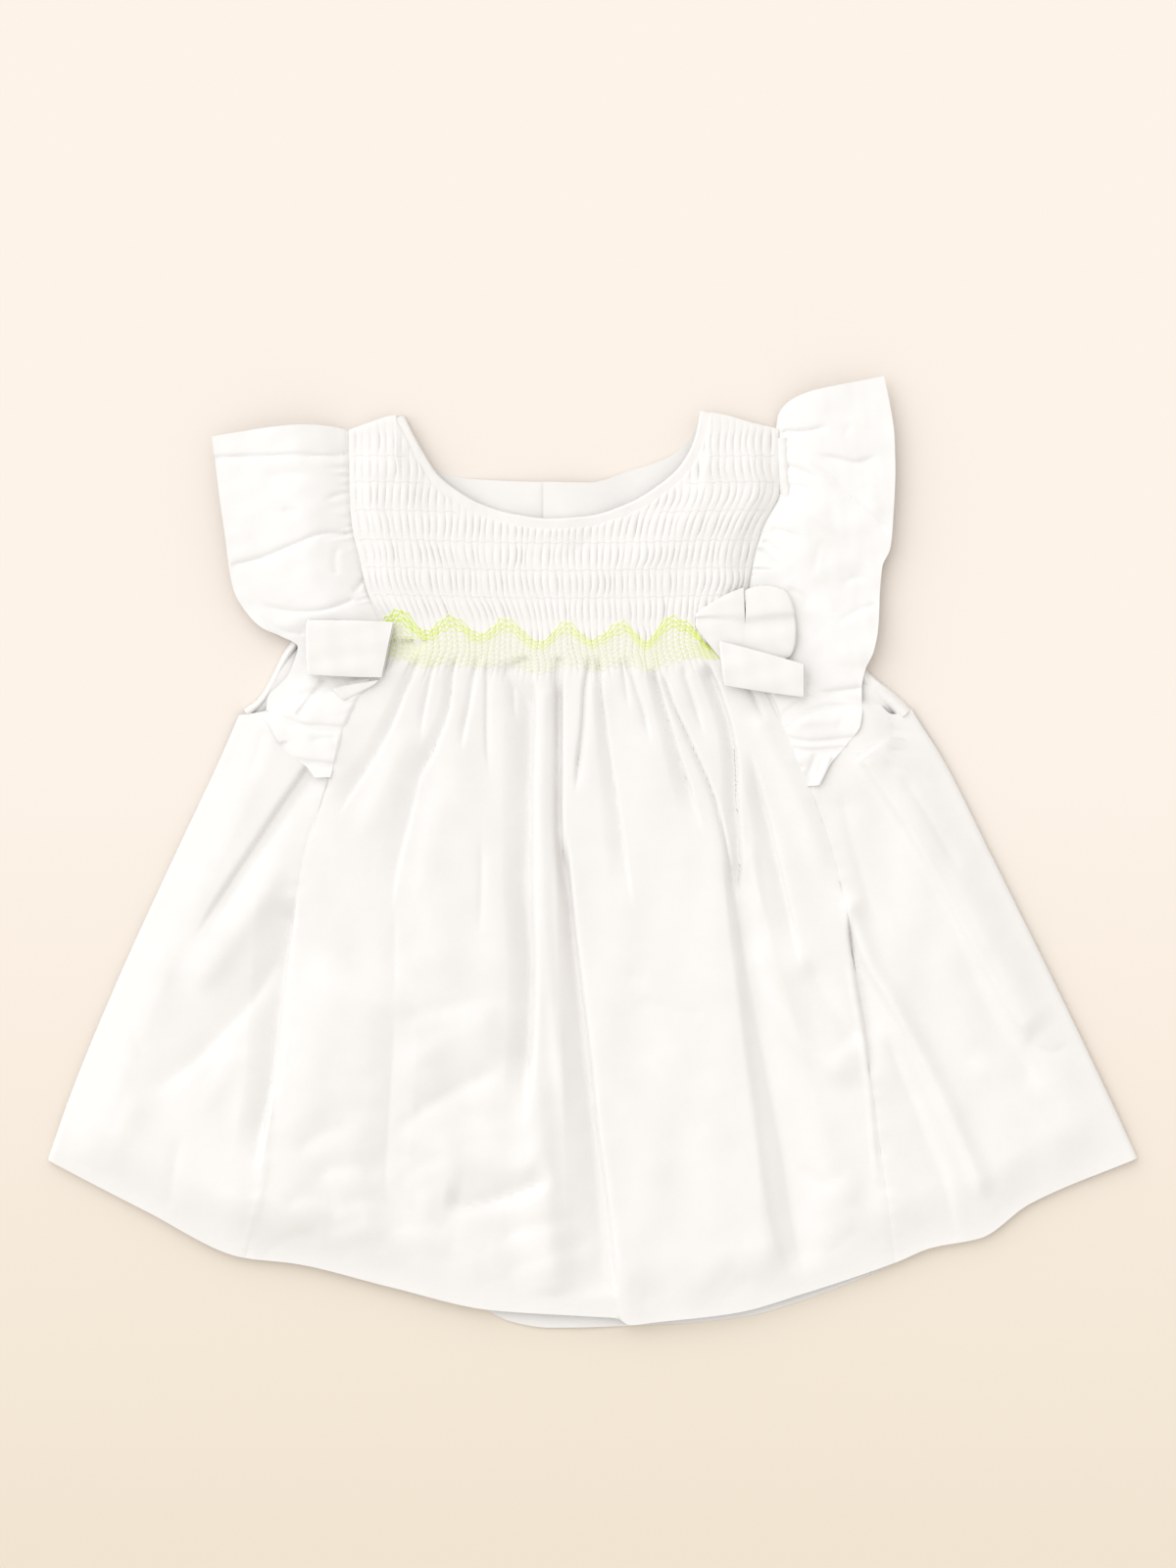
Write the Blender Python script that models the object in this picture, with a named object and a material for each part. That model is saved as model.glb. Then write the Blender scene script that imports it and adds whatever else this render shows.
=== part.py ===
"""Toddler dress of white cotton, laid flat with its front up.

A smocked centre front runs from two straps down to a band of embroidery and falls from it as a gathered
skirt, between two plain side fronts. The back is two halves that lap at a buttoned placket. Flutter ruffles
stand in the armhole seams and run on below a bow at each end of the band.

Frame: metres, +X across the dress, +Y from the hem to the neck, +Z up from the surface that the back lies on.
Every table and size below is in millimetres, and MM turns it into metres where the meshes are made. Each cloth
piece is a closed wall between an upper and an under skin, both read from the same height functions, so that
pieces nest where they lie on each other.
"""

import math
from collections import namedtuple

import bmesh
import bpy
from mathutils import Vector

MM = 0.001

# Cloth and clearances
WALL = 1.2  # cloth with its turnings
SEAM_GAP = 0.3  # between pieces that are sewn together
STACK_GAP = 0.3  # between pieces that lie on each other
EDGE_GAP = 1.0  # between a curved edge and its binding

# Smocking: pleats held by rows of stitches across them
PLEATS = 58
PLEAT_HEIGHT = 2.1
PINCH = 0.8  # how much lower a pleat is under a row of stitches
PLEAT_LEAN = 0.4  # sideways sway of the pleats between the rows
STITCH_PITCH = 12.2
LOWEST_STITCH_Y = 107.0
SMOCK_BOTTOM_Y = 84.0
STRAIGHT_ROWS_TOP_Y = 144.0  # above it the rows rise with the neck curve
SMOCK_ROWS_Y = (144.0, 137.8, 131.6, 125.5, 119.3, 113.2, 107.0, 95.5, 84.0)
NECK_ROWS = 6
PLAIN_INSIDE_ROWS = (0, 2, 4, 5, 6, 8, 10, 12, 13, 14)  # the rows that the plain inside has too

# Skirt
GATHERS = 34
GATHER_HEIGHT = 1.3
GATHER_FADE = 55.0  # length in which the gathers flatten out below the smocking
GATHERED_SHARES = (0.035, 0.08)  # rows of the gathers, as shares of the way from the smocking to the hem
SKIRT_SHARES = tuple(0.08 + 0.92 * i / 11 for i in range(1, 12))
SKIRT_COLUMNS = 48
SIDE_TOP_Y = 97.0

# Back placket: the right half laps over the left one, and the buttons lie under both
PLACKET_X = -22.0
PLACKET_HALF_LAP = 8.0
PLACKET_END_Y = 82.0
LAP_START = 6.0  # length in which the lap narrows to a seam at the placket's end
BUTTON_RADIUS = 5.0
BUTTON_THICK = 1.6
BUTTON_YS = (160.0, 130.0, 100.0)
PLACKET_LIFT = BUTTON_THICK + STACK_GAP
LIFT_HALF_WIDTH = 13.0  # the lifted strip is flat this far from its middle
LIFT_FOOT = 22.0  # and lies on the surface from here out

# Bindings
NECK_BINDING_WIDTH = 5.0
ARMHOLE_BINDING_WIDTH = 4.5
BINDING_HEIGHT = 2.1
BINDING_FACETS = 3
ARMHOLE_BINDING_ROWS = 9
ARMHOLE_BINDING_TOP_Y = 190.0
UNDERARM_Y = 66.0

Seam = namedtuple("Seam", "y left right")
Fold = namedtuple("Fold", "path width height")  # a ridge where height is positive, a trough where negative
Section = namedtuple("Section", "seam_y edge_x edge_y crest edge_z")

# Seams of the centre front, from the shoulders to the hem
FRONT_SEAMS = [
    Seam(202, -112.0, 85.0),
    Seam(166, -111.5, 85.5),
    Seam(150, -110.4, 78.0),
    Seam(135, -107.0, 73.4),
    Seam(120, -103.5, 71.0),
    Seam(104, -96.5, 68.4),
    Seam(97, -95.9, 68.0),
    Seam(83, -99.5, 72.9),
    Seam(70, -108.0, 83.0),
    Seam(57, -114.0, 87.8),
    Seam(30, -122.0, 99.0),
    Seam(0, -132.0, 109.4),
    Seam(-27, -136.3, 115.7),
    Seam(-94, -142.0, 125.5),
    Seam(-158, -152.6, 134.1),
    Seam(-190, -160.0, 138.6),
]

# Outline of the skirt at its sides, from the underarm to the hem
SIDES = [
    Seam(100, -146.0, 130.0),
    Seam(65, -161.5, 146.8),
    Seam(43, -171.0, 160.5),
    Seam(0, -191.2, 182.2),
    Seam(-54, -216.0, 209.0),
    Seam(-108, -238.5, 235.0),
    Seam(-140, -249.8, 249.8),
]

# Outer edge of the armholes, which the back halves and their bindings follow from shoulder to underarm
ARMHOLES = [
    Seam(202, -117.4, 90.8),
    Seam(175, -117.8, 91.6),
    Seam(153, -119.5, 94.5),
    Seam(130, -123.0, 98.0),
    Seam(108, -131.0, 105.5),
    Seam(92, -142.0, 117.0),
    Seam(80, -148.0, 130.0),
    Seam(71, -153.5, 141.0),
    Seam(65, -161.5, 146.8),
]

# Lines across the dress, from left to right, as points (x, y)
SHOULDERS = [
    (-114, 193), (-103.5, 196.7), (-92, 200.2), (-84, 200.8),
    (47, 202.5), (58.5, 200.7), (70, 197.6), (86, 194),
]
FRONT_NECK = [
    (-86.4, 200.4), (-82.4, 192), (-77.4, 183), (-71, 173.2), (-63, 166.5), (-51.8, 160), (-36, 155),
    (-20, 153), (-2, 154.3), (16, 160), (30, 168.3), (40.5, 178), (46.6, 190), (49.1, 202.2),
]
BACK_NECK = [
    (-86.4, 200.4), (-79, 185), (-70, 174.5), (-56, 171.5), (-25, 170), (-2, 169.7), (16, 175),
    (34, 181.3), (43, 188), (47.5, 195), (49.1, 202.2),
]
FRONT_HEM = [
    (-249.8, -140.8), (-205, -164), (-160, -185.4), (-137, -188), (-92, -199), (-47, -209.2), (-2, -212),
    (11, -212.8), (17, -216), (29, -214.7), (65, -210.6), (97, -201.6), (138.6, -187.7), (155, -181),
    (178, -176.4), (200, -161), (249.8, -139.8),
]
BACK_HEM = [
    (-249.8, -140.8), (-205, -163.6), (-160, -183.8), (-115, -190), (-70, -203), (-52, -208.3), (-38, -215),
    (-20, -217.9), (43, -215.8), (70, -212.8), (97, -205.2), (124, -195), (155, -181.5), (178, -176.4),
    (200, -161), (249.8, -139.8),
]
SIDE_TOP_LEFT = [(-162, 63), (-150, 65), (-135, 73), (-118, 86), (-96, 97)]
SIDE_TOP_RIGHT = [(68, 97), (90, 90), (108, 78), (125, 67), (137, 62), (147, 65)]

# Height of the front above its edges, down the middle
DOME = [(202, 4.6), (150, 4.2), (120, 3.6), (84, 3.5), (60, 2.8), (-40, 2.3), (-120, 2.0), (-216, 1.3)]

# Skirt folds, each along points (x, y) from its top to its end
FOLDS = [
    Fold([(-15, 76), (-15, 12), (-12, -19), (-8, -62), (-3, -126), (2, -195)], 4.6, -2.6),
    Fold([(-11, 14), (-6, -40), (0, -103), (4, -177), (10, -216)], 4.4, 2.0),
    Fold([(-29, 76), (-32, 31), (-29, -49), (-32, -130)], 4.6, -2.2),
    Fold([(-25, 60), (-26, 1), (-20, -58), (-16, -108)], 4.6, 1.3),
    Fold([(-49, 76), (-49, 39), (-41, 5)], 4.6, -2.3),
    Fold([(-66, 78), (-78, 35), (-86, 8), (-93, -13), (-90, -62)], 4.6, -2.2),
    Fold([(-56, 78), (-60, 46)], 3.6, -1.6),
    Fold([(-84, 82), (-90, 64), (-100, 42), (-114, 18)], 4.6, -2.3),
    Fold([(-4, 78), (-8, 34)], 3.6, -1.6),
    Fold([(5, 78), (10, 29), (15, -16)], 4.4, -2.0),
    Fold([(21, 78), (28, 44)], 3.6, -1.4),
    Fold([(31, 78), (40, 40), (50, 18)], 4.2, -2.4),
    Fold([(36, 74), (58, 18), (64, -15), (66, -62), (72, -120), (79, -170)], 4.4, -1.6),
    Fold([(55, 78), (65, 44), (67, -16)], 4.4, -2.0),
    Fold([(70, -50), (74, -93), (83, -145), (94, -190)], 6.0, -1.2),
    Fold([(74, 38), (83, -3), (89, -22), (98, -56)], 4.6, -1.9),
    Fold([(117, -24), (124, -72), (126, -100)], 5.0, -1.5),
    Fold([(112, -14), (139, -70), (166, -116), (173, -180)], 6.5, 1.6),
    Fold([(120, 52), (154, 6), (190, -57), (203, -92)], 7.0, 1.9),
    Fold([(124, 2), (179, -57), (203, -120)], 6.0, -1.5),
    Fold([(175, -100), (200, -114), (211, -140)], 6.0, 1.2),
    Fold([(163, -108), (182, -150)], 5.0, -1.2),
    Fold([(-132, 42), (-139, 16), (-156, -9), (-180, -26)], 6.0, -1.7),
    Fold([(-127, 36), (-168, -38), (-190, -72)], 8.0, 1.6),
    Fold([(-137, -15), (-148, -53), (-152, -93), (-157, -140)], 6.0, -1.8),
    Fold([(-162, -60), (-179, -95), (-206, -112)], 7.0, -1.2),
]
FOLD_FADE = 22.0  # length in which a fold rises and sinks at its ends

# Ruffles, from the shoulder to the tip below the bow
RUFFLE_LEFT = [
    Section(192.5, -174.2, 190.3, 6.4, 9.0),
    Section(183.6, -173.0, 181.3, 4.4, 6.6),
    Section(168.8, -170.6, 162.0, 8.4, 11.0),
    Section(155.2, -168.3, 146.2, 8.4, 11.4),
    Section(146.0, -166.5, 131.8, 5.2, 8.0),
    Section(135.0, -164.2, 120.2, 8.2, 11.0),
    Section(123.8, -158.0, 109.4, 5.0, 7.6),
    Section(116.1, -150.8, 102.6, 7.0, 8.6),
    Section(107.1, -142.5, 99.0, 5.6, 7.0),
    Section(97.5, -135.0, 94.0, 6.0, 6.2),
    Section(86.0, -139.1, 82.0, 6.6, 6.8),
    Section(74.2, -149.0, 70.6, 7.4, 7.0),
    Section(62.1, -149.4, 63.2, 6.0, 6.4),
    Section(54.5, -146.2, 55.6, 7.2, 6.8),
    Section(47.2, -140.8, 47.2, 6.2, 6.4),
    Section(39.6, -130.5, 39.1, 7.0, 6.8),
    Section(34.6, -127.0, 34.4, 6.2, 6.0),
]
RUFFLE_RIGHT = [
    Section(194.6, 133.0, 217.9, 6.8, 11.0),
    Section(187.0, 135.5, 206.1, 4.8, 8.4),
    Section(177.8, 137.7, 191.2, 8.4, 12.0),
    Section(166.2, 138.2, 175.5, 5.6, 9.0),
    Section(154.0, 137.2, 153.0, 8.8, 12.6),
    Section(145.0, 135.9, 139.5, 6.4, 9.6),
    Section(134.1, 132.2, 130.5, 7.6, 11.4),
    Section(123.8, 131.2, 119.2, 4.8, 8.6),
    Section(112.5, 130.5, 104.5, 6.8, 9.4),
    Section(99.5, 128.2, 92.0, 6.4, 7.4),
    Section(85.5, 124.4, 83.5, 6.4, 6.4),
    Section(75.2, 122.9, 75.6, 7.2, 7.0),
    Section(65.2, 122.9, 67.0, 6.0, 6.4),
    Section(56.4, 122.0, 58.4, 7.4, 7.0),
    Section(47.6, 115.7, 49.4, 6.2, 6.4),
    Section(38.2, 108.4, 40.6, 7.0, 6.8),
    Section(30.4, 103.4, 31.0, 6.2, 6.2),
]
RUFFLE_COLUMNS = 34
RUFFLE_ROWS = 5
RUFFLE_FOOT = 2.8  # height at its seam, above the armhole binding
RUFFLE_GATHER = 0.5
RUFFLE_CLEAR = 0.8  # above the side front that its lower stretch lies on

# Bow loops: a band that runs from its knot to a tip and back over itself, between two corners at each end
Loop = namedtuple("Loop", "name knot_top knot_foot tip_top tip_foot low height sag")
LOOPS = [
    Loop("bow_left_loop_over", (-91, 105), (-96.5, 80), (-130.6, 106.4), (-130.4, 82), 13.0, 4.6, 0.8),
    Loop("bow_left_loop_under", (-97, 89.0), (-100.5, 78.5), (-121, 74.0), (-115, 69.4), 9.0, 3.4, 0.2),
    Loop("bow_right_loop_left", (69.6, 120.4), (62.0, 79), (49.5, 112.5), (50.5, 93.5), 9.0, 5.2, 0.8),
    Loop("bow_right_loop_right", (73.4, 119.5), (73.8, 99.2), (92.6, 117.0), (93.0, 97.4), 9.2, 5.0, 0.8),
    Loop("bow_right_loop_under", (97.2, 85.0), (96.6, 71.0), (64.6, 97.4), (62.4, 78.0), 15.2, 4.6, 0.4),
]
LOOP_WALL = 1.1
LOOP_COLUMNS = 4
LOOP_LEG = (0.0, 0.45, 0.85)  # shares of the leg that get a row of points
KNOTS = {"bow_left_knot": (-93.0, 90.0, 9.2), "bow_right_knot": (71.5, 95.0, 9.0)}
KNOT_SIZE = (3.4, 9.0, 3.0)


def smooth(points):
    """The smooth curve through (at, value) points, as a function that never swings past them."""
    points = sorted(points)
    ats = [p[0] for p in points]
    values = [p[1] for p in points]
    steps = [(values[i + 1] - values[i]) / (ats[i + 1] - ats[i]) for i in range(len(ats) - 1)]
    slopes = [steps[0]]
    for before, after in zip(steps, steps[1:]):
        slopes.append(2 * before * after / (before + after) if before * after > 0 else 0.0)
    slopes.append(steps[-1])

    def value(at):
        at = min(max(at, ats[0]), ats[-1])
        i = 0
        while i < len(steps) - 1 and at > ats[i + 1]:
            i += 1
        span = ats[i + 1] - ats[i]
        t = (at - ats[i]) / span
        ease = t * t * (3 - 2 * t)
        bend = t * (1 - t) * span * (slopes[i] * (1 - t) - slopes[i + 1] * t)
        return values[i] + (values[i + 1] - values[i]) * ease + bend

    return value


def step(low, high, at):
    """0 up to low and 1 from high, with a soft rise between."""
    t = min(max((at - low) / (high - low), 0.0), 1.0)
    return t * t * (3 - 2 * t)


def mix(a, b, t):
    return a + (b - a) * t


seam_left = smooth([(s.y, s.left) for s in FRONT_SEAMS])
seam_right = smooth([(s.y, s.right) for s in FRONT_SEAMS])
side_left = smooth([(s.y, s.left) for s in SIDES])
side_right = smooth([(s.y, s.right) for s in SIDES])
armhole_left = smooth([(s.y, s.left) for s in ARMHOLES])
armhole_right = smooth([(s.y, s.right) for s in ARMHOLES])
shoulder_y = smooth(SHOULDERS)
back_neck_y = smooth(BACK_NECK)
front_hem_y = smooth(FRONT_HEM)
back_hem_y = smooth(BACK_HEM)
side_top_left_y = smooth(SIDE_TOP_LEFT)
side_top_right_y = smooth(SIDE_TOP_RIGHT)
dome = smooth(DOME)
FOLD_CURVES = [(fold, smooth([(y, x) for x, y in fold.path])) for fold in FOLDS]


def set_off(points, distance):
    """The line `distance` to the right of a run of points, seen along it."""
    moved = []
    for i, point in enumerate(points):
        ahead = points[min(i + 1, len(points) - 1)]
        behind = points[max(i - 1, 0)]
        along = Vector((ahead[0] - behind[0], ahead[1] - behind[1])).normalized()
        moved.append((point[0] + along.y * distance, point[1] - along.x * distance))
    return moved


def neck_line(stations):
    """Points along the front neck edge, at equal shares of its width-wise run."""
    chord = [0.0]
    for a, b in zip(FRONT_NECK, FRONT_NECK[1:]):
        chord.append(chord[-1] + math.dist(a, b))
    x_at = smooth(list(zip(chord, [p[0] for p in FRONT_NECK])))
    y_at = smooth(list(zip(chord, [p[1] for p in FRONT_NECK])))
    return [(x_at(chord[-1] * i / stations), y_at(chord[-1] * i / stations)) for i in range(stations + 1)]


NECK = neck_line(32)
PANEL_NECK = set_off(NECK, NECK_BINDING_WIDTH + EDGE_GAP)
panel_neck_y = smooth(PANEL_NECK)


def front_top_y(x):
    """Upper edge of the centre front: the shoulder on each strap, the binding between them."""
    if PANEL_NECK[0][0] <= x <= PANEL_NECK[-1][0]:
        return min(shoulder_y(x), panel_neck_y(x))
    return shoulder_y(x)


def placket(x, y):
    """Share of the placket's lift at a point: full over the lap, none well outside it or below its end."""
    across = 1 - step(LIFT_HALF_WIDTH, LIFT_FOOT, abs(x - PLACKET_X))
    return across * step(PLACKET_END_Y - 2 * PLACKET_HALF_LAP, PLACKET_END_Y, y)


def back_left_z(x, y):
    return PLACKET_LIFT * placket(x, y)


def back_right_z(x, y):
    return (PLACKET_LIFT + WALL + STACK_GAP) * placket(x, y)


def back_top_z(x, y):
    """Top of the back, where the front must stay clear of it."""
    return WALL + max(back_left_z(x, y), back_right_z(x, y))


def folds_z(x, y):
    """Height of all skirt folds together."""
    total = 0.0
    for fold, x_at in FOLD_CURVES:
        top, end = fold.path[0][1], fold.path[-1][1]
        if end < y < top:
            off = (x - x_at(y)) / fold.width
            fade = step(0, FOLD_FADE, y - end) * step(0, FOLD_FADE * 0.5, top - y)
            total += fold.height * fade * math.exp(-off * off)
    return total


def edge_share(x, y):
    """0 on the outline of the front, where it is sewn down to the back, and 1 well inside it."""
    if y > 97:
        inside = min(x - seam_left(y), seam_right(y) - x)
        top = step(-4, 16, shoulder_y(x) - y) if y > 170 else 1.0
        return step(-3, 14, inside) * top
    blend = step(60, 97, y)
    left = mix(side_left(y), seam_left(97), blend)
    right = mix(side_right(y), seam_right(97), blend)
    inside = min(x - left, right - x)
    return step(-2, 30, inside) * mix(0.45, 1, step(0, 45, y - front_hem_y(x)))


def front_under_z(x, y):
    """Under skin of the centre and side fronts."""
    height = max(dome(y) + folds_z(x, y), 0.2) * edge_share(x, y)
    return max(WALL + STACK_GAP + height, back_top_z(x, y) + STACK_GAP)


def front_over_z(x, y):
    return front_under_z(x, y) + WALL


class Wall:
    """A closed solid between an outer and an inner skin, each given as rows of points side by side."""

    def __init__(self):
        self.points = []
        self.faces = []

    def add_rows(self, rows):
        indices = []
        for row in rows:
            start = len(self.points)
            self.points.extend(row)
            indices.append(list(range(start, start + len(row))))
        for first, second in zip(indices, indices[1:]):
            self.zip_rows(first, second)
        return indices

    def span(self, a, b):
        """Distance between two points in plan."""
        return math.dist(self.points[a][:2], self.points[b][:2])

    def zip_rows(self, first, second):
        """Triangles between two rows: point by point, or by the shorter way across where their counts differ."""
        if len(first) == len(second):
            for i in range(len(first) - 1):
                self.faces.append((first[i], second[i], first[i + 1]))
                self.faces.append((second[i], second[i + 1], first[i + 1]))
            return
        i = j = 0
        last_i, last_j = len(first) - 1, len(second) - 1
        while i < last_i or j < last_j:
            along_first = self.span(first[i + 1], second[j]) if i < last_i else math.inf
            along_second = self.span(first[i], second[j + 1]) if j < last_j else math.inf
            if along_first <= along_second:
                self.faces.append((first[i], second[j], first[i + 1]))
                i += 1
            else:
                self.faces.append((first[i], second[j], second[j + 1]))
                j += 1

    def close(self, outer, inner):
        """The rims that join the two skins."""
        self.zip_rows(outer[0], inner[0])
        self.zip_rows(outer[-1], inner[-1])
        self.zip_rows([row[0] for row in outer], [row[0] for row in inner])
        self.zip_rows([row[-1] for row in outer], [row[-1] for row in inner])


def cotton(name, colour):
    material = bpy.data.materials.new(name)
    material.use_nodes = True
    shader = material.node_tree.nodes["Principled BSDF"]
    shader.inputs["Base Color"].default_value = (*colour, 1)
    shader.inputs["Roughness"].default_value = 0.85
    shader.inputs["Metallic"].default_value = 0.0
    material.diffuse_color = (*colour, 1)
    return material


def add_object(name, mesh, material):
    mesh.materials.append(material)
    made = bpy.data.objects.new(name, mesh)
    bpy.context.scene.collection.objects.link(made)
    return made


def wall_object(name, outer, inner, material):
    """One cloth piece from its two skins, in millimetres."""
    wall = Wall()
    wall.close(wall.add_rows(outer), wall.add_rows(inner))
    mesh = bpy.data.meshes.new(name)
    mesh.from_pydata([(x * MM, y * MM, z * MM) for x, y, z in wall.points], [], wall.faces)
    work = bmesh.new()
    work.from_mesh(mesh)
    bmesh.ops.recalc_face_normals(work, faces=work.faces)
    work.to_mesh(mesh)
    work.free()
    mesh.shade_smooth()
    mesh.set_sharp_from_angle(angle=math.radians(40))
    return add_object(name, mesh, material)


def settle(x_at, y_at, start):
    """The point whose x and y each follow from the other."""
    y = start
    for _ in range(40):
        y = mix(y, y_at(x_at(y)), 0.6)
    return x_at(y), y


def between(left, right, share, gap=0.0):
    """x as a function of y, at a share of the way from one edge to the other."""
    return lambda y: mix(left(y) + gap, right(y) - gap, share)


# Centre front


def pleat_point(index, x, y, top):
    """A point on the smocked skin: crests and troughs by turns, lower and swaying at the rows of stitches."""
    rows = (y - LOWEST_STITCH_Y) / STITCH_PITCH
    pinch = math.cos(math.pi * rows) ** 2
    crest = PLEAT_HEIGHT - PINCH * pinch
    if top:
        crest *= 0.5
    sway = PLEAT_LEAN * math.sin(math.pi * rows + 0.4 * math.sin(index * 0.7))
    straight = top or index in (0, 2 * PLEATS)
    z = front_over_z(x, y) + (crest if index % 2 else 0.0)
    return (x if straight else x + sway, y, z)


def yoke_row(count, row):
    """Points (x, y) of one row of the smocked part, from seam to seam."""
    points = []
    for i in range(count + 1):
        x_at = between(seam_left, seam_right, i / count, SEAM_GAP / 2)
        if row >= NECK_ROWS:
            y = SMOCK_ROWS_Y[row - NECK_ROWS]
            points.append((x_at(y), y))
            continue
        x, top = settle(x_at, front_top_y, STRAIGHT_ROWS_TOP_Y + 20)
        y = mix(top, STRAIGHT_ROWS_TOP_Y, row / NECK_ROWS)
        points.append((x_at(y), y) if row else (x, top))
    return points


def skirt_row(count, share):
    """Points (x, y) of one row of the skirt, a share of the way from the smocking to the hem."""
    points = []
    for i in range(count + 1):
        x_at = between(seam_left, seam_right, i / count, SEAM_GAP / 2)
        _, hem = settle(x_at, front_hem_y, -200)
        y = mix(SMOCK_BOTTOM_Y, hem, share)
        points.append((x_at(y), y))
    return points


def gather_z(index, y):
    """Small gathers just below the smocking."""
    return (index % 2) * GATHER_HEIGHT * step(0, GATHER_FADE, y - SMOCK_BOTTOM_Y + GATHER_FADE)


def front_panel(material):
    outer, inner = [], []
    for row in range(NECK_ROWS + len(SMOCK_ROWS_Y)):
        points = yoke_row(2 * PLEATS, row)
        outer.append([pleat_point(i, x, y, row == 0) for i, (x, y) in enumerate(points)])
    for row in PLAIN_INSIDE_ROWS:
        columns = PLEATS // 2 if row else 2 * PLEATS
        inner.append([(x, y, front_under_z(x, y)) for x, y in yoke_row(columns, row)])
    for share in GATHERED_SHARES:
        row = skirt_row(2 * GATHERS, share)
        outer.append([(x, y, front_over_z(x, y) + gather_z(i, y)) for i, (x, y) in enumerate(row)])
        inner.append([(x, y, front_under_z(x, y)) for x, y in skirt_row(SKIRT_COLUMNS, share)])
    for share in SKIRT_SHARES:
        row = skirt_row(SKIRT_COLUMNS, share)
        outer.append([(x, y, front_over_z(x, y)) for x, y in row])
        inner.append([(x, y, front_under_z(x, y)) for x, y in row])
    return wall_object("front_panel", outer, inner, material)


# Plain panels


def panel(name, columns, shares, x_ats, top_y, hem_y, under_z, material):
    """A plain cloth panel between two edges, a top line and a hem."""
    outer, inner = [], []
    for share in shares:
        row = []
        for column in columns:
            x_at = between(*x_ats, column)
            _, top = settle(x_at, top_y, 90)
            _, hem = settle(x_at, hem_y, -170)
            y = mix(top, hem, share)
            x = x_at(y)
            row.append((x, y, under_z(x, y)))
        inner.append(row)
        outer.append([(x, y, z + WALL) for x, y, z in row])
    return wall_object(name, outer, inner, material)


def even(count):
    return [i / count for i in range(count + 1)]


def side_fronts(material):
    seam_foot = FRONT_SEAMS[-1].y
    rows_y = [mix(SMOCK_BOTTOM_Y, seam_foot, share) for share in (0, *GATHERED_SHARES, *SKIRT_SHARES)]
    shares = [0] + [(SIDE_TOP_Y - y) / (SIDE_TOP_Y - seam_foot) for y in rows_y]
    panel(
        "side_front_left", even(10), shares, (side_left, lambda y: seam_left(y) - 1.5 * SEAM_GAP),
        side_top_left_y, front_hem_y, front_under_z, material,
    )
    panel(
        "side_front_right", even(10), shares, (lambda y: seam_right(y) + 1.5 * SEAM_GAP, side_right),
        side_top_right_y, front_hem_y, front_under_z, material,
    )


def back_edge(side, armhole, inward):
    """Outer edge of a back half: the side seam, and above it the armhole inside its binding."""
    return lambda y: armhole(y) + inward if y > 65 else side(y) + inward * step(40, 65, y)


def back_top_y(x):
    if BACK_NECK[0][0] < x < BACK_NECK[-1][0]:
        return min(back_neck_y(x), shoulder_y(x))
    return shoulder_y(x)


def back_halves(material):
    inward = ARMHOLE_BINDING_WIDTH + EDGE_GAP
    columns = [0, 0.16, 0.25, 0.42, 0.55, 0.64, 0.72, 0.8, 1]
    shares = [0, 0.06, 0.12, 0.18, 0.205, 0.23, 0.26, 0.29, 0.31, 0.33, 0.4, 0.6, 0.8, 1]

    def lap(y):
        """How far a half reaches past the middle: a lap along the placket, half a seam gap short below it."""
        return mix(-SEAM_GAP / 2, PLACKET_HALF_LAP, step(PLACKET_END_Y, PLACKET_END_Y + LAP_START, y))

    def left_centre(y):
        return PLACKET_X + lap(y)

    def right_centre(y):
        return PLACKET_X - lap(y)

    left_edge = back_edge(side_left, armhole_left, inward)
    right_edge = back_edge(side_right, armhole_right, -inward)
    panel(
        "back_left", columns[::-1], shares, (left_centre, left_edge),
        back_top_y, back_hem_y, back_left_z, material,
    )
    panel(
        "back_right", columns, shares, (right_centre, right_edge),
        back_top_y, back_hem_y, back_right_z, material,
    )


# Ruffles


def ruffle(name, sections, seam_x, material):
    """A gathered strip that stands in a seam and falls outward in waves."""
    columns = {}
    for field in Section._fields:
        columns[field] = smooth([(i, getattr(s, field)) for i, s in enumerate(sections)])
    outer, inner = [], []
    for row in range(RUFFLE_ROWS + 1):
        out = row / RUFFLE_ROWS
        upper, under = [], []
        for i in range(RUFFLE_COLUMNS + 1):
            at = i / RUFFLE_COLUMNS * (len(sections) - 1)
            seam_y = columns["seam_y"](at)
            x = mix(seam_x(seam_y), columns["edge_x"](at), out)
            y = mix(seam_y, columns["edge_y"](at), out)
            rest = front_over_z(x, y) + RUFFLE_CLEAR if y < SIDE_TOP_Y + 7 else 0.0
            arch = mix(RUFFLE_FOOT, columns["crest"](at), math.sin(math.pi * min(out * 1.25, 0.5)))
            z = max(mix(arch, columns["edge_z"](at), step(0.35, 1.0, out)), rest)
            z += RUFFLE_GATHER * (i % 2) * (1 - step(0.0, 0.5, out))
            under.append((x, y, z))
            upper.append((x, y, z + WALL))
        outer.append(upper)
        inner.append(under)
    return wall_object(name, outer, inner, material)


# Bindings and trims


def binding_height(share):
    """Height of a rounded binding, a share of the way across it."""
    return mix(WALL, BINDING_HEIGHT, math.sin(math.pi * share))


def neck_binding(material):
    """A rounded strip on the front neck edge, from shoulder to shoulder."""
    outer, inner = [], []
    for near, far in zip(NECK, set_off(NECK, NECK_BINDING_WIDTH)):
        upper, under = [], []
        for share in even(BINDING_FACETS):
            x, y = mix(near[0], far[0], share), mix(near[1], far[1], share)
            low = front_under_z(x, y)
            under.append((x, y, low))
            upper.append((x, y, low + binding_height(share)))
        outer.append(upper)
        inner.append(under)
    return wall_object("neck_binding", outer, inner, material)


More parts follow.
